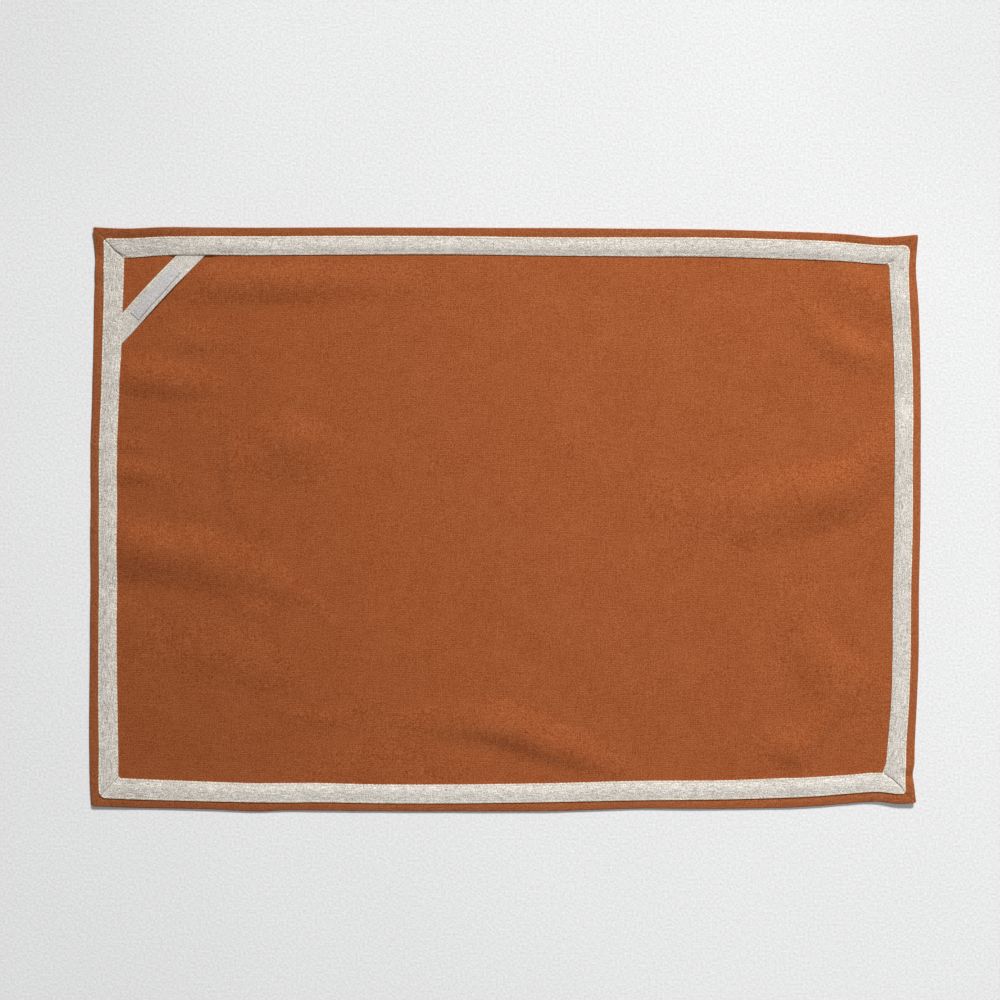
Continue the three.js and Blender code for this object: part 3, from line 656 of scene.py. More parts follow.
# The rounded edge of the tape and what is left of its thickness there, how far a stitch draws that edge
# in, and the share of the width at which the swell between the stitches is full
SELVEDGE = 0.5 * MM
SELVEDGE_LEAST = 0.5
SCALLOP = 0.1 * MM
PILLOW_FULL = 0.42
# The groove of a row of stitches and its holes: depth and spread of each
STITCH_GROOVE = 0.1 * MM
GROOVE_SPREAD = 0.42 * MM
STITCH_HOLE = 0.14 * MM
HOLE_SPREAD = 0.5 * MM
# The pressed mitre and the least thickness that is left in it, the dimple at its inner end from a share
# of the width on, and how far from a corner its bow is felt
MITRE_WIDTH = 0.45 * MM
LEAST_THICK = 0.1 * MM
DIMPLE_FROM = 0.6
DIMPLE_WIDTH = 1.8 * MM
WANDER_REACH = 4.0 * MM


def tape_depth(row, tape_row, stitch):
    """Depth inside the mat's edge of a row of the tape. Its edges are drawn in at each stitch."""
    across = tape_row.fixed * MM + tape_row.share * row.tape
    from_edge = np.minimum(across, row.tape - across)
    pull = SCALLOP * np.clip(1 - from_edge / stitch.inset, 0, 1)
    wave = pull * np.cos(2 * math.pi * row.at / stitch.pitch)
    return row.hem + across + np.where(tape_row.share < 0.5, wave, -wave)


def sewn_profile(across, width, at, thick, pillow, stitch, holes=True):
    """Height of a tape's top over its underside: rounded selvedges, a swell between its two rows of
    stitches, and a groove with holes along each of them."""
    from_edge = np.clip(np.minimum(across, width - across), 0, None)
    rim = np.clip(1 - from_edge / SELVEDGE, 0, 1)
    body = thick * lerp(SELVEDGE_LEAST, 1, np.sqrt(1 - rim**2))
    top = body + pillow * smoothstep(from_edge, stitch.inset, PILLOW_FULL * width)
    if not holes:
        return top
    row = np.exp(-(((from_edge - stitch.inset) / GROOVE_SPREAD) ** 2))
    phase = (at / stitch.pitch + 0.5) % 1 - 0.5
    hole = np.exp(-((phase * stitch.pitch / HOLE_SPREAD) ** 2))
    return top - row * (STITCH_GROOVE + STITCH_HOLE * hole)


def lift_over_strap(side, at):
    """How much of the strap's thickness lifts the border tape."""
    if side not in LIFT_OVER_STRAP:
        return np.zeros_like(at)
    low, high = LIFT_OVER_STRAP[side]
    return 1 - smoothstep(np.maximum(low - at, at - high), 0, LIFT_RAMP)


def tape_seat(side, at, depth, tape):
    """Height of the border tape's underside over the cloth's: on the hem, then down past its edge."""
    drop = smoothstep(depth, tape.step_start, tape.step_start + STEP_LENGTH)
    lifted = lift_over_strap(side, at)
    return FLAP_TOP + SEWN_GAP - (FLAP_TOP - CLOTH_THICK) * drop * (1 - lifted)


def leg_stations(leg, depth_of, stitch):
    """Places along a leg for one row of the tape, fanned out at its corners and even between them, and
    the places of its two tips."""
    along = FACING[leg.side].along
    corners = [CORNERS[leg.start], CORNERS[leg.end]]
    tips = [corner_point(corner, depth_of)[along] for corner in corners]
    inner = [corner_point(corner, INNER_LINE)[along] for corner in corners]
    way = np.sign(inner[1] - inner[0])
    step = stitch.pitch / STATIONS_PER_STITCH
    first, last = math.ceil(way * inner[0] / step), math.floor(way * inner[1] / step)
    middle = way * step * np.arange(first, last + 1)
    share = np.linspace(0, 1, CORNER_STATIONS, endpoint=False)
    start = lerp(tips[0], middle[0], share)
    end = lerp(tips[1], middle[-1], share)[::-1]
    return np.concatenate([start, middle, end]), tips


def leg_points(leg, tape_row, stitch, cut_ends=CUT_ENDS):
    """Places, plan points, depth, side's row and sunk depth of one row of a leg of the tape."""

    def depth_of(row):
        return tape_depth(row, tape_row, stitch)

    at, tips = leg_stations(leg, depth_of, stitch)
    points = plan_points(leg.side, at, line_inside(leg.side, at, depth_of))
    row = read_side(leg.side, at)
    sunk = np.zeros(len(at))
    across_share = tape_row.share + tape_row.fixed / NOMINAL_WIDTH
    for tip_at, name, station in ((tips[0], leg.start, 0), (tips[1], leg.end, -1)):
        corner = CORNERS[name]
        tip = corner_point(corner, depth_of)
        radius = lerp(corner.round, corner.inner_round, min(1.0, across_share)) * MM
        points = rounded_corner(points, tip, radius)
        beside = abs(at - tip_at)
        wander = corner.wander * MM * math.sin(math.pi * across_share)
        square = np.sign(tip) * (1, -1) * DIAGONAL
        points = points + wander * np.exp(-beside / WANDER_REACH)[:, None] * square
        sunk += corner.mitre * MM * np.exp(-((beside * DIAGONAL / MITRE_WIDTH) ** 2))
        inner_end = float(smoothstep(across_share, DIMPLE_FROM, 1.0)) * corner.dimple * MM
        sunk += inner_end * np.exp(-((beside / DIMPLE_WIDTH) ** 2))
        if (leg.side, name) in cut_ends:
            opened = CUT_GAP * lerp(1, CUT_OPENED, across_share)
            points[station, FACING[leg.side].along] -= np.sign(tip_at) * opened
    return at, points, tape_depth(row, tape_row, stitch), row, sunk


def border_grid(cloth, tape, stitch, is_top):
    """Points of one side of the border tape, and its map: along the side, and across from its edge."""
    grids, afters, befores = [], [], []
    for number, leg in enumerate(LEGS):
        columns, maps = [], []
        for tape_row in TOP_ROWS if is_top else UNDER_ROWS:
            at, points, depth, row, sunk = leg_points(leg, tape_row, stitch)
            across = depth - row.hem
            height = tape_seat(leg.side, at, depth, tape)
            if is_top:
                thick = sewn_profile(across, row.tape, at, tape.thick, tape.pillow, stitch)
                height = height + np.maximum(thick - sunk, np.minimum(thick, LEAST_THICK))
            columns.append(standing(points, height, cloth))
            maps.append(np.column_stack([at + number, across / row.tape]))
        grid, run = np.stack(columns, 1), np.stack(maps, 1)
        is_last = number == len(LEGS) - 1
        grids.append(grid if is_last else grid[:-1])
        afters.append(run if is_last else run[:-1])
        befores.append(run if number == 0 else run[1:])
    return np.vstack(grids), np.vstack(afters), np.vstack(befores)


# The strap's frame: along it from the top end, and across it towards the middle of the mat
STRAP_RUN = np.linalg.norm(STRAP_LEFT - STRAP_TOP)
STRAP_ALONG = (STRAP_LEFT - STRAP_TOP) / STRAP_RUN
STRAP_ACROSS = np.array([-STRAP_ALONG[1], STRAP_ALONG[0]])
STRAP_STATIONS = 110
# Its thickness, the swell between its edges, how far its line bows towards the corner, and the height
# of the sine along it from which it stands off the cloth
STRAP_THICK = 0.6 * MM
STRAP_PILLOW = 0.08 * MM
STRAP_BOW = 0.45 * MM
ARCH_START = 0.3


def strap_stand(share, arch):
    """Height of the strap's underside above the cloth's face, by share of its length."""
    return SEWN_GAP + arch * smoothstep(np.sin(math.pi * np.clip(share, 0, 1)), ARCH_START, 1)


def strap_end(side, across):
    """How far along the strap an edge line of it meets the line at which it ends under the tape."""
    along, away = FACING[side].along, 1 - FACING[side].along
    run = 0.0 if side == "top" else STRAP_RUN
    for _ in range(PASSES):
        point = STRAP_TOP + STRAP_ALONG * run + STRAP_ACROSS * across
        run += float(line_inside(side, point[along], STRAP_TUCK) - point[away]) / STRAP_ALONG[away]
    return run


def strap_grid(cloth, strap, stitch, is_top):
    columns, maps = [], []
    for tape_row in TOP_ROWS if is_top else UNDER_ROWS:
        across = tape_row.fixed * MM + tape_row.share * strap.width
        aside = across - strap.width / 2
        run = np.linspace(strap_end("top", aside), strap_end("left", aside), STRAP_STATIONS + 1)
        bow = STRAP_BOW * np.sin(math.pi * np.clip(run / STRAP_RUN, 0, 1))
        points = STRAP_TOP + STRAP_ALONG * run[:, None] + STRAP_ACROSS * (aside - bow)[:, None]
        height = CLOTH_THICK + strap_stand(run / STRAP_RUN, strap.arch)
        if is_top:
            height = height + sewn_profile(
                across, strap.width, run, STRAP_THICK, STRAP_PILLOW, stitch, holes=False
            )
        columns.append(standing(points, height, cloth))
        maps.append(np.column_stack([run, np.full(len(run), across / strap.width)]))
    return np.stack(columns, 1), np.stack(maps, 1)


LABEL_STATIONS = 60
LABEL_SIDE_ROWS = (0.0, 0.04, 0.1, 0.2, 0.35, 0.5, 0.65, 0.8, 0.9, 0.96, 1.0)
# Its rounded rim and what is left of its thickness there, and the pressed line where each end is sewn
LABEL_RIM = 0.35 * MM
LABEL_LEAST = 0.35
LABEL_END = 1.6 * MM
LABEL_END_SINK = 0.15 * MM
LABEL_END_SPREAD = 0.4 * MM


def label_grid(cloth, strap, is_top):
    """The label's ends are folded under and sewn down, so that it is pressed in a little there."""
    angle = strap.label_angle
    along = -np.array([math.cos(angle), math.sin(angle)])
    side = np.array([-along[1], along[0]])
    share = 0.5 - 0.5 * np.cos(np.linspace(0, math.pi, LABEL_STATIONS + 1))
    run = (share - 0.5) * strap.label_length
    columns, maps = [], []
    for part in LABEL_SIDE_ROWS:
        aside = (part - 0.5) * strap.label_width
        points = LABEL_MIDDLE + along * run[:, None] + side * aside
        on_strap = (points - STRAP_TOP) @ STRAP_ALONG / STRAP_RUN
        height = CLOTH_THICK + strap_stand(on_strap, strap.arch) + STRAP_THICK + STRAP_PILLOW
        if is_top:
            from_side = min(part, 1 - part) * strap.label_width
            from_end = strap.label_length / 2 - abs(run)
            rim = np.clip(1 - np.minimum(from_side, from_end) / LABEL_RIM, 0, 1)
            sink = np.exp(-(((from_end - LABEL_END) / LABEL_END_SPREAD) ** 2))
            height = height + strap.label_thick * lerp(LABEL_LEAST, 1, np.sqrt(1 - rim**2))
            height = height - LABEL_END_SINK * sink
        columns.append(standing(points, height, cloth))
        maps.append(np.column_stack([run, np.full(len(run), part)]))
    return np.stack(columns, 1), np.stack(maps, 1)


# Rings of one stitch: share of its length, share of the thread's radius, share of its lift
StitchRing = namedtuple("StitchRing", "along radius lift")
STITCH_RINGS = [
    StitchRing(0.0, 0.35, -1.0),
    StitchRing(0.1, 0.85, 0.1),
    StitchRing(0.3, 1.0, 0.9),
    StitchRing(0.7, 1.0, 0.9),
    StitchRing(0.9, 0.85, 0.1),
    StitchRing(1.0, 0.35, -1.0),
]
STITCH_SIDES = 6
# How far a stitch rises from the tape, how much of the pitch it fills, and how far it turns at random
STITCH_LIFT = 0.12 * MM
STITCH_SHARE = 0.86
STITCH_JITTER = 0.05 * MM


def thread_mesh(name, starts, ends, stitch, lift, draws):
    """One mesh of many stitches, each a short length of thread that dives in at both ends."""
    run = ends - starts
    middle = (starts + ends) / 2
    along = run / np.linalg.norm(run, axis=1, keepdims=True)
    side = np.cross(along, [0.0, 0.0, 1.0])
    side /= np.linalg.norm(side, axis=1, keepdims=True)
    up = np.cross(side, along)
    turn = draws.normal(0, STITCH_JITTER, (len(run), 1)) * side
    angles = 2 * math.pi * np.arange(STITCH_SIDES) / STITCH_SIDES
    round_it = side[:, None] * np.cos(angles)[:, None] + up[:, None] * np.sin(angles)[:, None]
    rings = []
    for ring in STITCH_RINGS:
        part = (ring.along - 0.5) * STITCH_SHARE
        centre = middle + run * part + turn * part * 2 + up * lift * ring.lift
        rings.append(centre[:, None] + stitch.thread / 2 * ring.radius * round_it)
    points = np.stack(rings, 1)
    number = np.arange(math.prod(points.shape[:3])).reshape(points.shape[:3])
    beside = np.roll(number, -1, axis=2)
    quads = np.stack([number[:, :-1], beside[:, :-1], beside[:, 1:], number[:, 1:]], -1)
    faces = quads.reshape(-1, 4).tolist() + number[:, 0, ::-1].tolist() + number[:, -1].tolist()
    return new_piece(name, points, faces)


def stitch_holes(leg, tape_row, stitch):
    """Places, plan points, depths, hem and tape width at the holes of one row of stitches on one leg."""
    at, points, depth, row, _ = leg_points(leg, tape_row, stitch, cut_ends=())
    way = 1 if at[-1] > at[0] else -1
    low, high = min(at[0], at[-1]), max(at[0], at[-1])
    holes = stitch.pitch * np.arange(math.ceil(low / stitch.pitch), math.floor(high / stitch.pitch) + 1)
    columns = [points[:, 0], points[:, 1], depth, row.hem, row.tape]
    return holes, *(np.interp(holes, at[::way], values[::way]) for values in columns)


def build_stitches(cloth, tape, stitch):
    """The tape's two rows of stitches, and the same rows on the underside."""
    draws = np.random.default_rng(stitch.seed)
    upper, lower = ([], []), ([], [])
    inset = stitch.inset / MM
    for leg in LEGS:
        for tape_row in (TapeRow(inset, 0.0), TapeRow(-inset, 1.0)):
            holes, x, y, depth, hem, width = stitch_holes(leg, tape_row, stitch)
            ground = rise_at(x, y, cloth.unevenness)
            on_top = (
                tape_seat(leg.side, holes, depth, tape)
                + sewn_profile(depth - hem, width, holes, tape.thick, tape.pillow, stitch)
                + STITCH_HOLE
            )
            for rows, z in ((upper, ground + on_top), (lower, ground + stitch.thread / 2)):
                points = np.column_stack([x, y, z])
                rows[0].append(points[:-1])
                rows[1].append(points[1:])
    return [
        thread_mesh(name, np.vstack(starts), np.vstack(ends), stitch, lift, draws)
        for name, (starts, ends), lift in (
            ("tape_stitches", upper, STITCH_LIFT),
            ("underside_stitches", lower, 0.0),
        )
    ]


# Grain as noise: its waves a metre, one number or one for each axis, its detail and its roughness
Grain = namedtuple("Grain", "waves detail roughness", defaults=(2.0, 0.5))
# A weave that isn't quite even: the grain by which its yarns wander, how many yarns they wander either
# way, how much wider its yarns lie along than across, over how many yarns one keeps its tone, and a seed
Weave = namedtuple("Weave", "wander drift ratio keeps seed")
# How far apart in the noise one yarn's tone is from the next one's, and the warp's from the weft's
YARN_APART, WARP_APART = 3.71, 40.3
WHITE = (1.0, 1.0, 1.0)
LOW_SPECULAR = 0.2
SHEEN_ROUGHNESS = 0.5


class Finish:
    """A material whose nodes are added and linked by short calls."""

    def __init__(self, name, colour, roughness, sheen=0.0):
        self.material = bpy.data.materials.new(name)
        self.material.use_nodes = True
        self.material.diffuse_color = (*colour, 1.0)
        self.nodes = self.material.node_tree.nodes
        self.links = self.material.node_tree.links
        self.shader = self.nodes["Principled BSDF"]
        self.shader.inputs["Roughness"].default_value = roughness
        self.shader.inputs["Specular IOR Level"].default_value = LOW_SPECULAR
        self.shader.inputs["Sheen Weight"].default_value = sheen
        self.shader.inputs["Sheen Roughness"].default_value = SHEEN_ROUGHNESS

    def put(self, value, socket):
        if isinstance(value, bpy.types.NodeSocket):
            self.links.new(value, socket)
        elif socket.type == "RGBA" and len(value) == 3:
            socket.default_value = (*value, 1.0)
        else:
            socket.default_value = value

    def add(self, kind, output=0, **sockets):
        node = self.nodes.new("ShaderNode" + kind)
        for name, value in sockets.items():
            self.put(value, node.inputs[name])
        return node.outputs[output]

    def math(self, operation, *values):
        node = self.nodes.new("ShaderNodeMath")
        node.operation = operation
        for value, socket in zip(values, node.inputs):
            self.put(value, socket)
        return node.outputs[0]

    def scaled(self, value, gain, level):
        return self.math("MULTIPLY_ADD", value, gain, level)

    def blend(self, share, a, b, kind="RGBA", mode="MIX"):
        node = self.nodes.new("ShaderNodeMix")
        node.data_type = kind
        if kind == "RGBA":
            node.blend_type = mode
        sockets = [s for s in node.inputs if s.enabled]
        for value, socket in zip((share, a, b), sockets):
            self.put(value, socket)
        return next(s for s in node.outputs if s.enabled)

    def tinted(self, colour, tint):
        return self.blend(1.0, colour, tint, mode="MULTIPLY")

    def grey(self, shade):
        return self.add("CombineXYZ", X=shade, Y=shade, Z=shade)

    def between(self, value, low, high, to_low=0.0, to_high=1.0):
        """The value's share of the way from low to high, laid between two new ends."""
        node = self.nodes.new("ShaderNodeMapRange")
        node.interpolation_type = "SMOOTHSTEP"
        names = ("Value", "From Min", "From Max", "To Min", "To Max")
        for new, name in zip((value, low, high, to_low, to_high), names):
            self.put(new, node.inputs[name])
        return node.outputs[0]

    def noise(self, place, grain):
        stretched = self.nodes.new("ShaderNodeVectorMath")
        stretched.operation = "MULTIPLY"
        self.put(place, stretched.inputs[0])
        waves = grain.waves if isinstance(grain.waves, tuple) else (grain.waves,) * 3
        stretched.inputs[1].default_value = waves
        settings = {"Scale": 1.0, "Detail": grain.detail, "Roughness": grain.roughness}
        return self.add("TexNoise", Vector=stretched.outputs[0], **settings)

    def split(self, vector):
        node = self.nodes.new("ShaderNodeSeparateXYZ")
        self.put(vector, node.inputs[0])
        return node.outputs

    def sheet_map(self, width):
        """Places on a sheet's own map: along it in metres, across it from nought to one, across it over
        a width in metres, and the flat point."""
        run = self.add("UVMap")
        run.node.uv_map = "run"
        u, v, _ = self.split(run)
        metres = self.math("MULTIPLY", v, width)
        return u, v, metres, self.add("CombineXYZ", X=u, Y=metres, Z=0.0)

    def plain_weave(self, across, along):
        """Height of a plain weave, and its warp mask: across and along count the yarns of each way."""
        waves = [self.math("SINE", self.math("MULTIPLY", count, math.pi)) for count in (across, along)]
        ridges = [self.math("SQRT", self.math("ABSOLUTE", wave)) for wave in waves]
        signs = [self.math("SIGN", wave) for wave in waves]
        over = self.math("MULTIPLY", signs[0], waves[1])
        under = self.math("MULTIPLY", signs[1], waves[0])
        warp = self.math("MULTIPLY", ridges[0], self.scaled(over, 0.5, 0.5))
        weft = self.math("MULTIPLY", ridges[1], self.scaled(under, -0.5, 0.5))
        return self.math("MAXIMUM", warp, weft), self.math("GREATER_THAN", warp, weft)

    def uneven_weave(self, weave, place, across, along, pitch):
        """Height of a plain weave whose yarns wander, and a tone that changes from yarn to yarn, and
        slowly along each."""
        drift = self.scaled(self.noise(place, weave.wander), 2 * weave.drift, -weave.drift)
        across = self.scaled(across, 1 / pitch, drift)
        along = self.scaled(along, 1 / (pitch * weave.ratio), drift)
        height, warp = self.plain_weave(across, along)
        tones = []
        for n, (number, run) in enumerate(((across, along), (along, across))):
            yarn = self.scaled(self.math("FLOOR", number), YARN_APART, weave.seed + WARP_APART * n)
            slow = self.math("DIVIDE", run, weave.keeps)
            spot = self.add("CombineXYZ", X=yarn, Y=slow, Z=0.0)
            tones.append(self.add("TexNoise", Vector=spot, Scale=1.0, Detail=1.0))
        return height, self.blend(warp, tones[1], tones[0], kind="FLOAT")

    def plus(self, start, *parts):
        """A start with more parts, each by its share."""
        for part, share in parts:
            start = self.scaled(part, share, start)
        return start

    def uneven(self, start, parts, shares):
        """A tone with parts that lighten or darken it, each by its share of its way from the middle."""
        for part, share in zip(parts, shares):
            start = self.scaled(self.math("SUBTRACT", part, 0.5), share, start)
        return start

    def toned(self, parts, gains):
        """A tone that is the product of its parts, each with a gain and the level it starts from."""
        tones = [self.scaled(part, *gain) for part, gain in zip(parts, gains)]
        shade = tones[0]
        for tone in tones[1:]:
            shade = self.math("MULTIPLY", shade, tone)
        return shade

    def relief(self, height, depth, strength):
        bump = self.add("Bump", Height=height, Distance=depth, Strength=strength)
        self.put(bump, self.shader.inputs["Normal"])

    def colour(self, value):
        self.put(value, self.shader.inputs["Base Color"])
        return self.material


def shifted(colour, shift):
    return tuple(part * factor for part, factor in zip(colour, shift))


# How the cloth's pale fibre tips and its darker yarns, with the painted shade between them, differ from its
# own colour, how much darker it is painted towards the left, which is painted shade, and how it is painted
# lighter towards the far right corner, which is painted light
SHADE_SHIFT = (0.665, 0.405, 0.02)
TIP_SHIFT = (1.335, 1.595, 2.05)
CLOTH_PAINTED_SHADE_LEFT = (0.87, 0.86, 0.83)
PAINTED_SHADE_FROM, PAINTED_SHADE_TO = -250 * MM, 60 * MM
CLOTH_PAINTED_LIGHT_ALONG, CLOTH_PAINTED_LIGHT_ACROSS = 0.06 / (250 * MM), 0.06 / (175 * MM)
# The hem, which rubs on the table, is a little greyer; along the far side it is painted darker as well,
# which is painted shade. The hem lies beyond these lines
WORN_HEM = (0.98, 1.085, 1.28)
WORN_FAR_HEM_PAINTED_SHADE = (0.89, 0.99, 1.16)
HEM_BEYOND = (234.0 * MM, 160.0 * MM)
# The cloth's tone: gain and level of its weave's ridges, whose hollows take painted shade between the yarns,
# and the shares of its yarns, fibres and patches
CLOTH_WEAVE = Weave(Grain(95.0), 0.8, 1.12, 7.0, 2.0)
CLOTH_FIBRE = Grain(1300.0, roughness=0.7)
CLOTH_PATCH = Grain((34.0, 42.0, 30.0), 3.0, 0.6)
CLOTH_RIDGES_PAINTED_SHADE = (0.3, -0.21)
CLOTH_SHARES = (0.7, 2.6, 0.25)
CLOTH_ROUGHNESS = (0.1, 0.88)


def rust_cloth_finish(finish, cloth):
    """Heavy plain weave with uneven yarns and pale fibre tips. Painted shade lies between its yarns and
    towards the left, and painted light towards the far right corner.
    """
    rust = tuple(finish.rust)
    made = Finish("rust_cloth_weave", rust, roughness=0.93, sheen=0.05)
    place = made.add("TexCoord", "Object")
    x, y, _ = made.split(place)
    height, tone = made.uneven_weave(CLOTH_WEAVE, place, x, y, cloth.weave)
    fibre, patch = made.noise(place, CLOTH_FIBRE), made.noise(place, CLOTH_PATCH)
    # The weave's hollows take painted shade between the yarns
    shade = made.uneven(made.scaled(height, *CLOTH_RIDGES_PAINTED_SHADE), (tone, fibre, patch), CLOTH_SHARES)
    tip = made.math("ADD", shade, 0.5)
    grain = made.blend(tip, shifted(rust, SHADE_SHIFT), shifted(rust, TIP_SHIFT))
    # Painted shade towards the left and painted light towards the far right corner
    painted_light_and_wear = made.blend(made.between(x, PAINTED_SHADE_FROM, PAINTED_SHADE_TO), CLOTH_PAINTED_SHADE_LEFT, WHITE)
    painted_light_and_wear = made.tinted(painted_light_and_wear, made.grey(made.plus(1.0, (y, CLOTH_PAINTED_LIGHT_ACROSS), (x, CLOTH_PAINTED_LIGHT_ALONG))))
    beyond = [
        made.between(made.math("ABSOLUTE", at), line - MM, line + MM)
        for at, line in zip((x, y), HEM_BEYOND)
    ]
    # The hem's grey tint is wear; along the far side it also takes painted shade
    far = made.between(y, HEM_BEYOND[1] - MM, HEM_BEYOND[1] + MM)
    hem = made.blend(far, WORN_HEM, WORN_FAR_HEM_PAINTED_SHADE)
    painted_light_and_wear = made.tinted(painted_light_and_wear, made.blend(made.math("MAXIMUM", *beyond), WHITE, hem))
    made.put(made.scaled(fibre, *CLOTH_ROUGHNESS), made.shader.inputs["Roughness"])
    made.relief(made.plus(height, (tone, 0.3), (fibre, 0.5)), depth=0.15 * MM, strength=0.7)
    return made.colour(made.tinted(grain, painted_light_and_wear))


# How much more the tape's bright fibres gain in green and in blue than in red, and the tints between
# which its fibres vary
WHITER_GREEN, WHITER_BLUE = 0.05, 0.10
WARM_FIBRE, COOL_FIBRE = (1.03, 0.985, 0.985), (0.97, 1.015, 1.015)
# The tape is painted darker towards the left side, which is painted shade: from one X to another, its
# brightness at each
TAPE_PAINTED_SHADE_LEFT = (-236 * MM, -120 * MM, 0.88, 1.0)
STRAP_PAINTED_SHADE = (-260 * MM, -160 * MM, 0.83, 0.93)
# The strap is less streaky than the border, where the whole of the streaks shows
STREAKY_STRAP = 0.5
# The tape's grain, along it and across it. Its weave's hollows take painted shade between the yarns, and its
# tone takes shares of its yarns, fibres, strands, patches and streaks, for a plain tape and for a streaky
# one
TAPE_WEAVE = Weave(Grain((130.0, 260.0, 1.0)), 0.6, 0.92, 6.0, 11.0)
TAPE_FIBRE = Grain(1900.0, roughness=0.8)
TAPE_STRAND = Grain((190.0, 1700.0, 1.0), 1.0)
TAPE_PATCH = Grain((60.0, 90.0, 1.0))
TAPE_STREAK = Grain((70.0, 1300.0, 1.0), roughness=0.6)
TAPE_FLECK = Grain((500.0, 1300.0, 1.0), roughness=0.6)
TAPE_TINT = Grain(1500.0, 1.0)
TAPE_RIDGES_PAINTED_SHADE = (0.3, -0.2)
PLAIN_SHARES, STREAKY_SHARES = (0.5, 1.8, 0.0, 0.2, 0.0), (0.5, 3.0, 0.95, 0.2, 0.3)
# Where the fleck's and the tint's noise start and end, and the most that a fleck covers
FLECK_FROM, FLECK_TO, FLECK_COVERS = 0.55, 0.72, 0.4
TINT_FROM, TINT_TO = 0.35, 0.65
# The cream selvedge, by share of the tape's width: its inner line, where it is whole, and its cover
SELVEDGE_LINE = 0.075
SELVEDGE_WHOLE = SELVEDGE_LINE * 0.6
SELVEDGE_COVERS = 0.85


def linen_finish(finish, tape, name, width, inner_edge=0.0, painted_shade=TAPE_PAINTED_SHADE_LEFT, streaky=1.0):
    """Unbleached linen tape: fine plain weave, lengthwise streaks, darker flecks and cream selvedges, with
    painted shade between its yarns and towards the left.
    """
    linen = tuple(finish.linen)
    made = Finish(name, linen, roughness=0.9, sheen=0.1)
    place = made.add("TexCoord", "Object")
    u, v, metres, flat = made.sheet_map(width)
    height, tone = made.uneven_weave(TAPE_WEAVE, flat, metres, u, tape.weave)
    fibre = made.noise(place, TAPE_FIBRE)
    parts = (tone, fibre, *(made.noise(flat, grain) for grain in (TAPE_STRAND, TAPE_PATCH, TAPE_STREAK)))
    shares = [lerp(plain, streaked, streaky) for plain, streaked in zip(PLAIN_SHARES, STREAKY_SHARES)]
    # The weave's hollows take painted shade between the yarns
    shade = made.uneven(made.scaled(height, *TAPE_RIDGES_PAINTED_SHADE), parts, shares)
    # Painted shade towards the left
    bright = made.math("ADD", shade, made.between(made.split(place)[0], *painted_shade))
    more = made.math("SUBTRACT", bright, 1.0)
    green, blue = (made.scaled(more, gain, bright) for gain in (WHITER_GREEN, WHITER_BLUE))
    light = made.add("CombineXYZ", X=bright, Y=green, Z=blue)
    fleck = made.noise(flat, TAPE_FLECK)
    flecks = made.between(fleck, FLECK_FROM, FLECK_TO, 0.0, FLECK_COVERS * streaky)
    base = made.blend(flecks, linen, tuple(finish.fleck))
    tint = made.between(made.noise(place, TAPE_TINT), TINT_FROM, TINT_TO)
    base = made.tinted(base, made.blend(tint, COOL_FIBRE, WARM_FIBRE))
    outer = made.between(v, SELVEDGE_WHOLE, SELVEDGE_LINE, SELVEDGE_COVERS, 0.0)
    inner = made.between(v, 1 - SELVEDGE_LINE, 1 - SELVEDGE_WHOLE, 0.0, inner_edge)
    base = made.blend(made.math("MAXIMUM", outer, inner), base, tuple(finish.cream))
    made.relief(made.plus(height, (tone, 0.5), (fibre, 0.6)), depth=0.15 * MM, strength=0.8)
    return made.colour(made.tinted(base, light))


# The label's ribs along and yarns across, and the width over which they are counted
RIB_PITCH = 0.36 * MM
RIBBON_PITCH = 0.42 * MM
RIBBON_WIDTH = 7.4 * MM
RIBBON_FIBRE = Grain(1900.0, roughness=0.8)
RIBBON_FLECK = Grain((700.0, 1100.0, 1.0))
# Gain and level of its ribs, fibres and flecks in its tone; the ribs' hollows take painted shade
RIBBON_GAINS = ((0.14, 0.86), (1.5, 0.25), (0.8, 0.6))
# Darker lines along it, one beside each long edge and one at its lower edge, the last being painted shade on
# the side away from the light: place and spread by share of its width, and how much darker
DarkLine = namedtuple("DarkLine", "place spread darker")
EDGE_LINES = DarkLine(0.09, 0.06, 0.08)
LOWER_PAINTED_SHADE_LINE = DarkLine(0.95, 0.08, 0.14)


def label_finish(finish):
    """Close woven ribbon: fine ribs across with painted shade between them, darker lines along its edges,
    and painted shade along its lower edge.
    """
    grey = tuple(finish.label)
    made = Finish("grey_label_ribbon", grey, roughness=0.75, sheen=0.15)

    def dark_line(value, line):
        apart = made.math("ABSOLUTE", made.math("SUBTRACT", value, line.place))
        return made.between(apart, 0.0, line.spread, line.darker, 0.0)

    place = made.add("TexCoord", "Object")
    u, v, _, flat = made.sheet_map(RIBBON_WIDTH)
    ribs, yarns = made.math("DIVIDE", u, RIB_PITCH), made.math("MULTIPLY", v, RIBBON_WIDTH / RIBBON_PITCH)
    height, _ = made.plain_weave(ribs, yarns)
    fibre, fleck = made.noise(place, RIBBON_FIBRE), made.noise(flat, RIBBON_FLECK)
    from_edge = made.math("MINIMUM", v, made.math("SUBTRACT", 1.0, v))
    # The line at the lower edge is painted shade
    edge = made.math("ADD", dark_line(from_edge, EDGE_LINES), dark_line(v, LOWER_PAINTED_SHADE_LINE))
    # The ribs' hollows take painted shade
    shade = made.math("SUBTRACT", made.toned((height, fibre, fleck), RIBBON_GAINS), edge)
    made.relief(made.plus(height, (fibre, 0.4)), depth=0.1 * MM, strength=0.7)
    return made.colour(made.tinted(grey, made.grey(shade)))


THREAD_FIBRE = Grain(2400.0)
THREAD_GAIN = (0.5, 0.74)


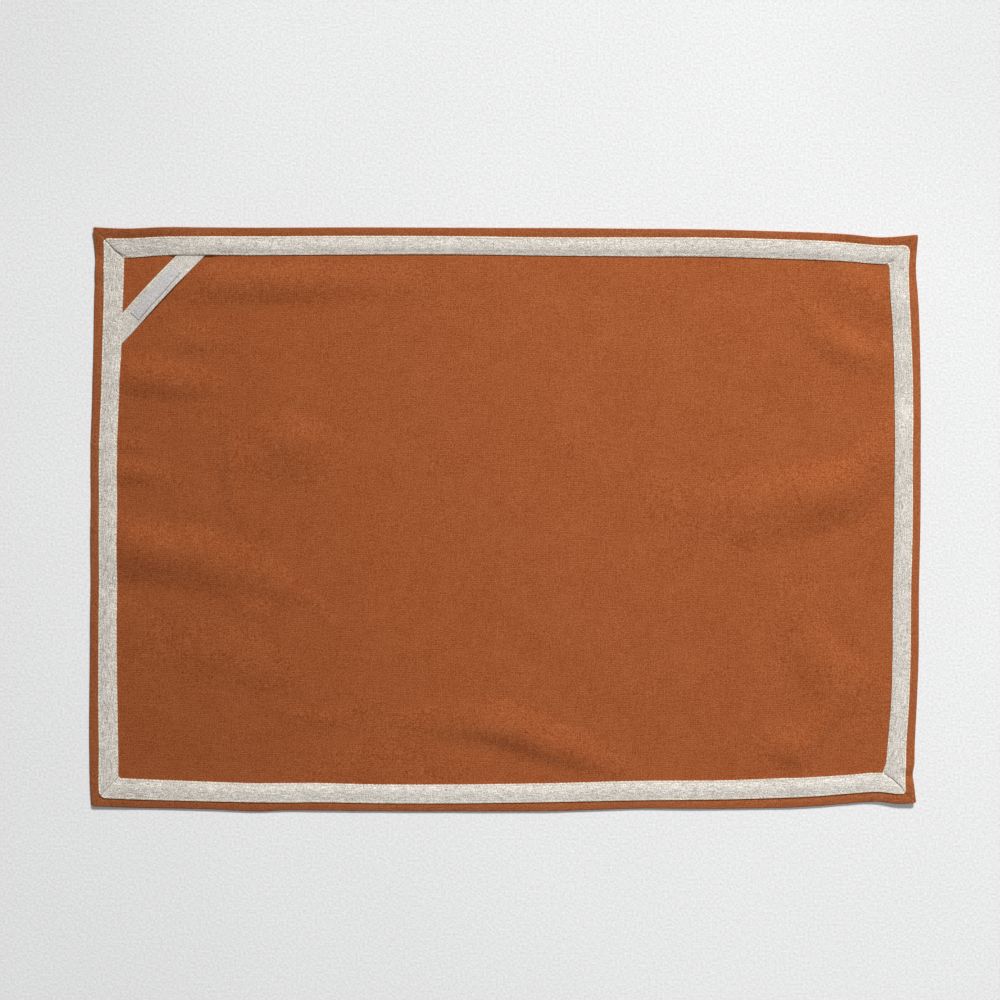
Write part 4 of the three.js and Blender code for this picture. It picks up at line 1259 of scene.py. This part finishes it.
def thread_finish(finish):
    """Cream sewing thread with a slight lustre."""
    cream = tuple(finish.cream)
    made = Finish("cream_thread", cream, roughness=0.7, sheen=0.2)
    fibre = made.noise(made.add("TexCoord", "Object"), THREAD_FIBRE)
    made.relief(fibre, depth=0.06 * MM, strength=0.6)
    return made.colour(made.tinted(cream, made.grey(made.scaled(fibre, *THREAD_GAIN))))


# Painted shade on the plaster: how much darker it is beyond the mat's far corners, and from where to where
# along X and Y that grows. Then painted light and shade: its tone at both ends of the stretch round the mat
# over which it changes along X and Y
FAR_CORNER_SHADE = 0.06
FAR_CORNER_X, FAR_CORNER_Y = (0.15, 0.30), (0.13, 0.28)
PLASTER_REACH = 0.3
PLASTER_PAINTED_LIGHT_ALONG, PLASTER_PAINTED_LIGHT_ACROSS = (0.978, 1.02), (1.01, 0.99)
# Its broad and its fine grain, and the gain and level of each in its tone
PLASTER_BROAD = Grain(9.0, 3.0)
PLASTER_FINE = Grain(700.0, 3.0, 0.6)
PLASTER_GAINS = ((0.05, 0.965), (0.5, 0.75))


def plaster_finish(finish):
    """Matt pale plaster with a faint unevenness, painted shade beyond the mat's far corners, and painted
    light and shade that change along X and Y.
    """
    plaster = tuple(finish.plaster)
    made = Finish("pale_plaster", plaster, roughness=0.95)
    place = made.add("TexCoord", "Object")
    x, y, _ = made.split(place)
    broad, fine = made.noise(place, PLASTER_BROAD), made.noise(place, PLASTER_FINE)
    # Painted shade beyond the mat's far corners
    aside = made.between(made.math("ABSOLUTE", x), *FAR_CORNER_X)
    beyond = made.between(y, *FAR_CORNER_Y, 0.0, FAR_CORNER_SHADE)
    factors = [made.math("SUBTRACT", 1.0, made.math("MULTIPLY", aside, beyond))]
    # Painted light and shade that change along X and Y
    for at, tones in ((x, PLASTER_PAINTED_LIGHT_ALONG), (y, PLASTER_PAINTED_LIGHT_ACROSS)):
        factors.append(made.between(at, -PLASTER_REACH, PLASTER_REACH, *tones))
    shade = made.toned((broad, fine), PLASTER_GAINS)
    for factor in factors:
        shade = made.math("MULTIPLY", shade, factor)
    made.relief(fine, depth=0.4 * MM, strength=0.35)
    return made.colour(made.tinted(plaster, made.grey(shade)))


# Width and length of each sheet as it is cut, before it is turned and sewn
TAPE_CUT = (11.8 * MM, 1.6)
# How far the cream selvedge covers the tape's inner edge
INNER_SELVEDGE = 0.3


class PLACEMAT_OT_make_cloth(Operator):
    """Make the cloth with its turned hem"""

    bl_idname = "placemat.make_cloth"
    bl_label = "Make cloth"

    def execute(self, context):
        scene = context.scene
        cloth, stitch = scene.placemat_cloth, scene.placemat_stitch
        piece = sheet_body(
            "cloth_woven", cloth_grid(cloth, stitch, True), cloth_grid(cloth, stitch, False)
        )
        piece.data.materials.append(rust_cloth_finish(scene.placemat_finish, cloth))
        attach(piece, "root")
        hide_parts("cloth")
        return {"FINISHED"}


class PLACEMAT_OT_sew_border(Operator):
    """Sew the tape border over the hem's raw edge"""

    bl_idname = "placemat.sew_border"
    bl_label = "Sew border tape"

    def execute(self, context):
        scene = context.scene
        cloth, tape, stitch = scene.placemat_cloth, scene.placemat_tape, scene.placemat_stitch
        piece = mapped_sheet("border_tape_woven", lambda is_top: border_grid(cloth, tape, stitch, is_top))
        piece.data.materials.append(
            linen_finish(scene.placemat_finish, tape, "linen_tape_weave", TAPE_CUT[0], INNER_SELVEDGE)
        )
        threads = build_stitches(cloth, tape, stitch)
        thread = thread_finish(scene.placemat_finish)
        for row in threads:
            row.data.materials.append(thread)
            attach(row, "root")
        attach(piece, "root")
        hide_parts("border_tape")
        return {"FINISHED"}


class PLACEMAT_OT_add_strap(Operator):
    """Lay the strap across the corner and the bare label on it"""

    bl_idname = "placemat.add_strap"
    bl_label = "Add strap and label"

    def execute(self, context):
        scene = context.scene
        finish = scene.placemat_finish
        cloth, strap, stitch = scene.placemat_cloth, scene.placemat_strap, scene.placemat_stitch
        piece = mapped_sheet("corner_strap_woven", lambda is_top: strap_grid(cloth, strap, stitch, is_top))
        # The strap is painted darker towards the left, which is painted shade
        look = {"name": "linen_strap_weave", "painted_shade": STRAP_PAINTED_SHADE, "streaky": STREAKY_STRAP}
        piece.data.materials.append(
            linen_finish(finish, scene.placemat_tape, width=strap.width, **look)
        )
        label = mapped_sheet("bare_label", lambda is_top: label_grid(cloth, strap, is_top))
        label.data.materials.append(label_finish(finish))
        for thing, node, material in (
            (piece, "corner_strap", "linen_tape"),
            (label, "label", "grey_label"),
        ):
            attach(thing, "root")
            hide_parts(node)
        return {"FINISHED"}


TABLE_HALF = 2.5
TABLE_BELOW = 0.05 * MM
# Where each light stands as seen from the mat: degrees from +X towards +Y and above the table, distance
# and side of its square face in metres
Light = namedtuple("Light", "azimuth elevation distance size")
LIGHTS = {"window": Light(72, 40, 6.0, 0.9), "lamp": Light(-30, 80, 1.0, 0.6)}


class PLACEMAT_OT_set_stage(Operator):
    """Set the plain table, the soft light and the camera straight above the mat"""

    bl_idname = "placemat.set_stage"
    bl_label = "Set stage"

    def execute(self, context):
        scene = context.scene
        stage = scene.placemat_stage
        scene.view_settings.view_transform = "Standard"
        mesh = bpy.data.meshes.new("table")
        corners = [(x * TABLE_HALF, y * TABLE_HALF) for x, y in ((-1, -1), (1, -1), (1, 1), (-1, 1))]
        mesh.from_pydata([(x, y, -TABLE_BELOW) for x, y in corners], [], [(0, 1, 2, 3)])
        table = bpy.data.objects.new("table", mesh)
        table.data.materials.append(plaster_finish(scene.placemat_finish))
        scene.collection.objects.link(table)

        world = bpy.data.worlds.new("studio")
        world.use_nodes = True
        background = world.node_tree.nodes["Background"]
        background.inputs["Color"].default_value = (*WHITE, 1.0)
        background.inputs["Strength"].default_value = stage.fill
        scene.world = world

        powers = {"window": stage.window_power, "lamp": stage.lamp_power}
        for name, power in powers.items():
            place = LIGHTS[name]
            light = bpy.data.lights.new(name, "AREA")
            light.size = place.size
            light.energy = power
            lamp = bpy.data.objects.new(name, light)
            turn, tilt = math.radians(place.azimuth), math.radians(place.elevation)
            flat = place.distance * math.cos(tilt)
            height = place.distance * math.sin(tilt)
            lamp.location = (flat * math.cos(turn), flat * math.sin(turn), height)
            lamp.rotation_euler = (-lamp.location).to_track_quat("-Z", "Y").to_euler()
            scene.collection.objects.link(lamp)

        lens = bpy.data.cameras.new("camera")
        lens.lens = lens.sensor_width * stage.camera_height / stage.view_width
        camera = bpy.data.objects.new("camera", lens)
        camera.location = (stage.camera_x, stage.camera_y, stage.camera_height)
        scene.collection.objects.link(camera)
        scene.camera = camera
        return {"FINISHED"}


OPERATORS = [
    PLACEMAT_OT_make_cloth,
    PLACEMAT_OT_sew_border,
    PLACEMAT_OT_add_strap,
    PLACEMAT_OT_set_stage,
]


class PLACEMAT_PT_sidebar(Panel):
    """Sizes and colours of the placemat, and what makes it"""

    bl_idname = "PLACEMAT_PT_sidebar"
    bl_label = "Placemat"
    bl_space_type = "VIEW_3D"
    bl_region_type = "UI"
    bl_category = "Placemat"

    def draw(self, context):
        for name, group in SIZE_GROUPS.items():
            box = self.layout.box()
            for prop in group.__annotations__:
                box.prop(getattr(context.scene, name), prop)
        for operator in OPERATORS:
            self.layout.operator(operator.bl_idname)


CLASSES = [*SIZE_GROUPS.values(), *OPERATORS, PLACEMAT_PT_sidebar]


def register():
    for cls in CLASSES:
        bpy.utils.register_class(cls)
    for name, group in SIZE_GROUPS.items():
        setattr(bpy.types.Scene, name, PointerProperty(type=group))


def unregister():
    for name in SIZE_GROUPS:
        delattr(bpy.types.Scene, name)
    for cls in reversed(CLASSES):
        bpy.utils.unregister_class(cls)


def main():
    register()
    bpy.ops.placemat.make_cloth()
    bpy.ops.placemat.sew_border()
    bpy.ops.placemat.add_strap()
    bpy.ops.placemat.set_stage()
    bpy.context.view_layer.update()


if __name__ == "__main__":
    main()
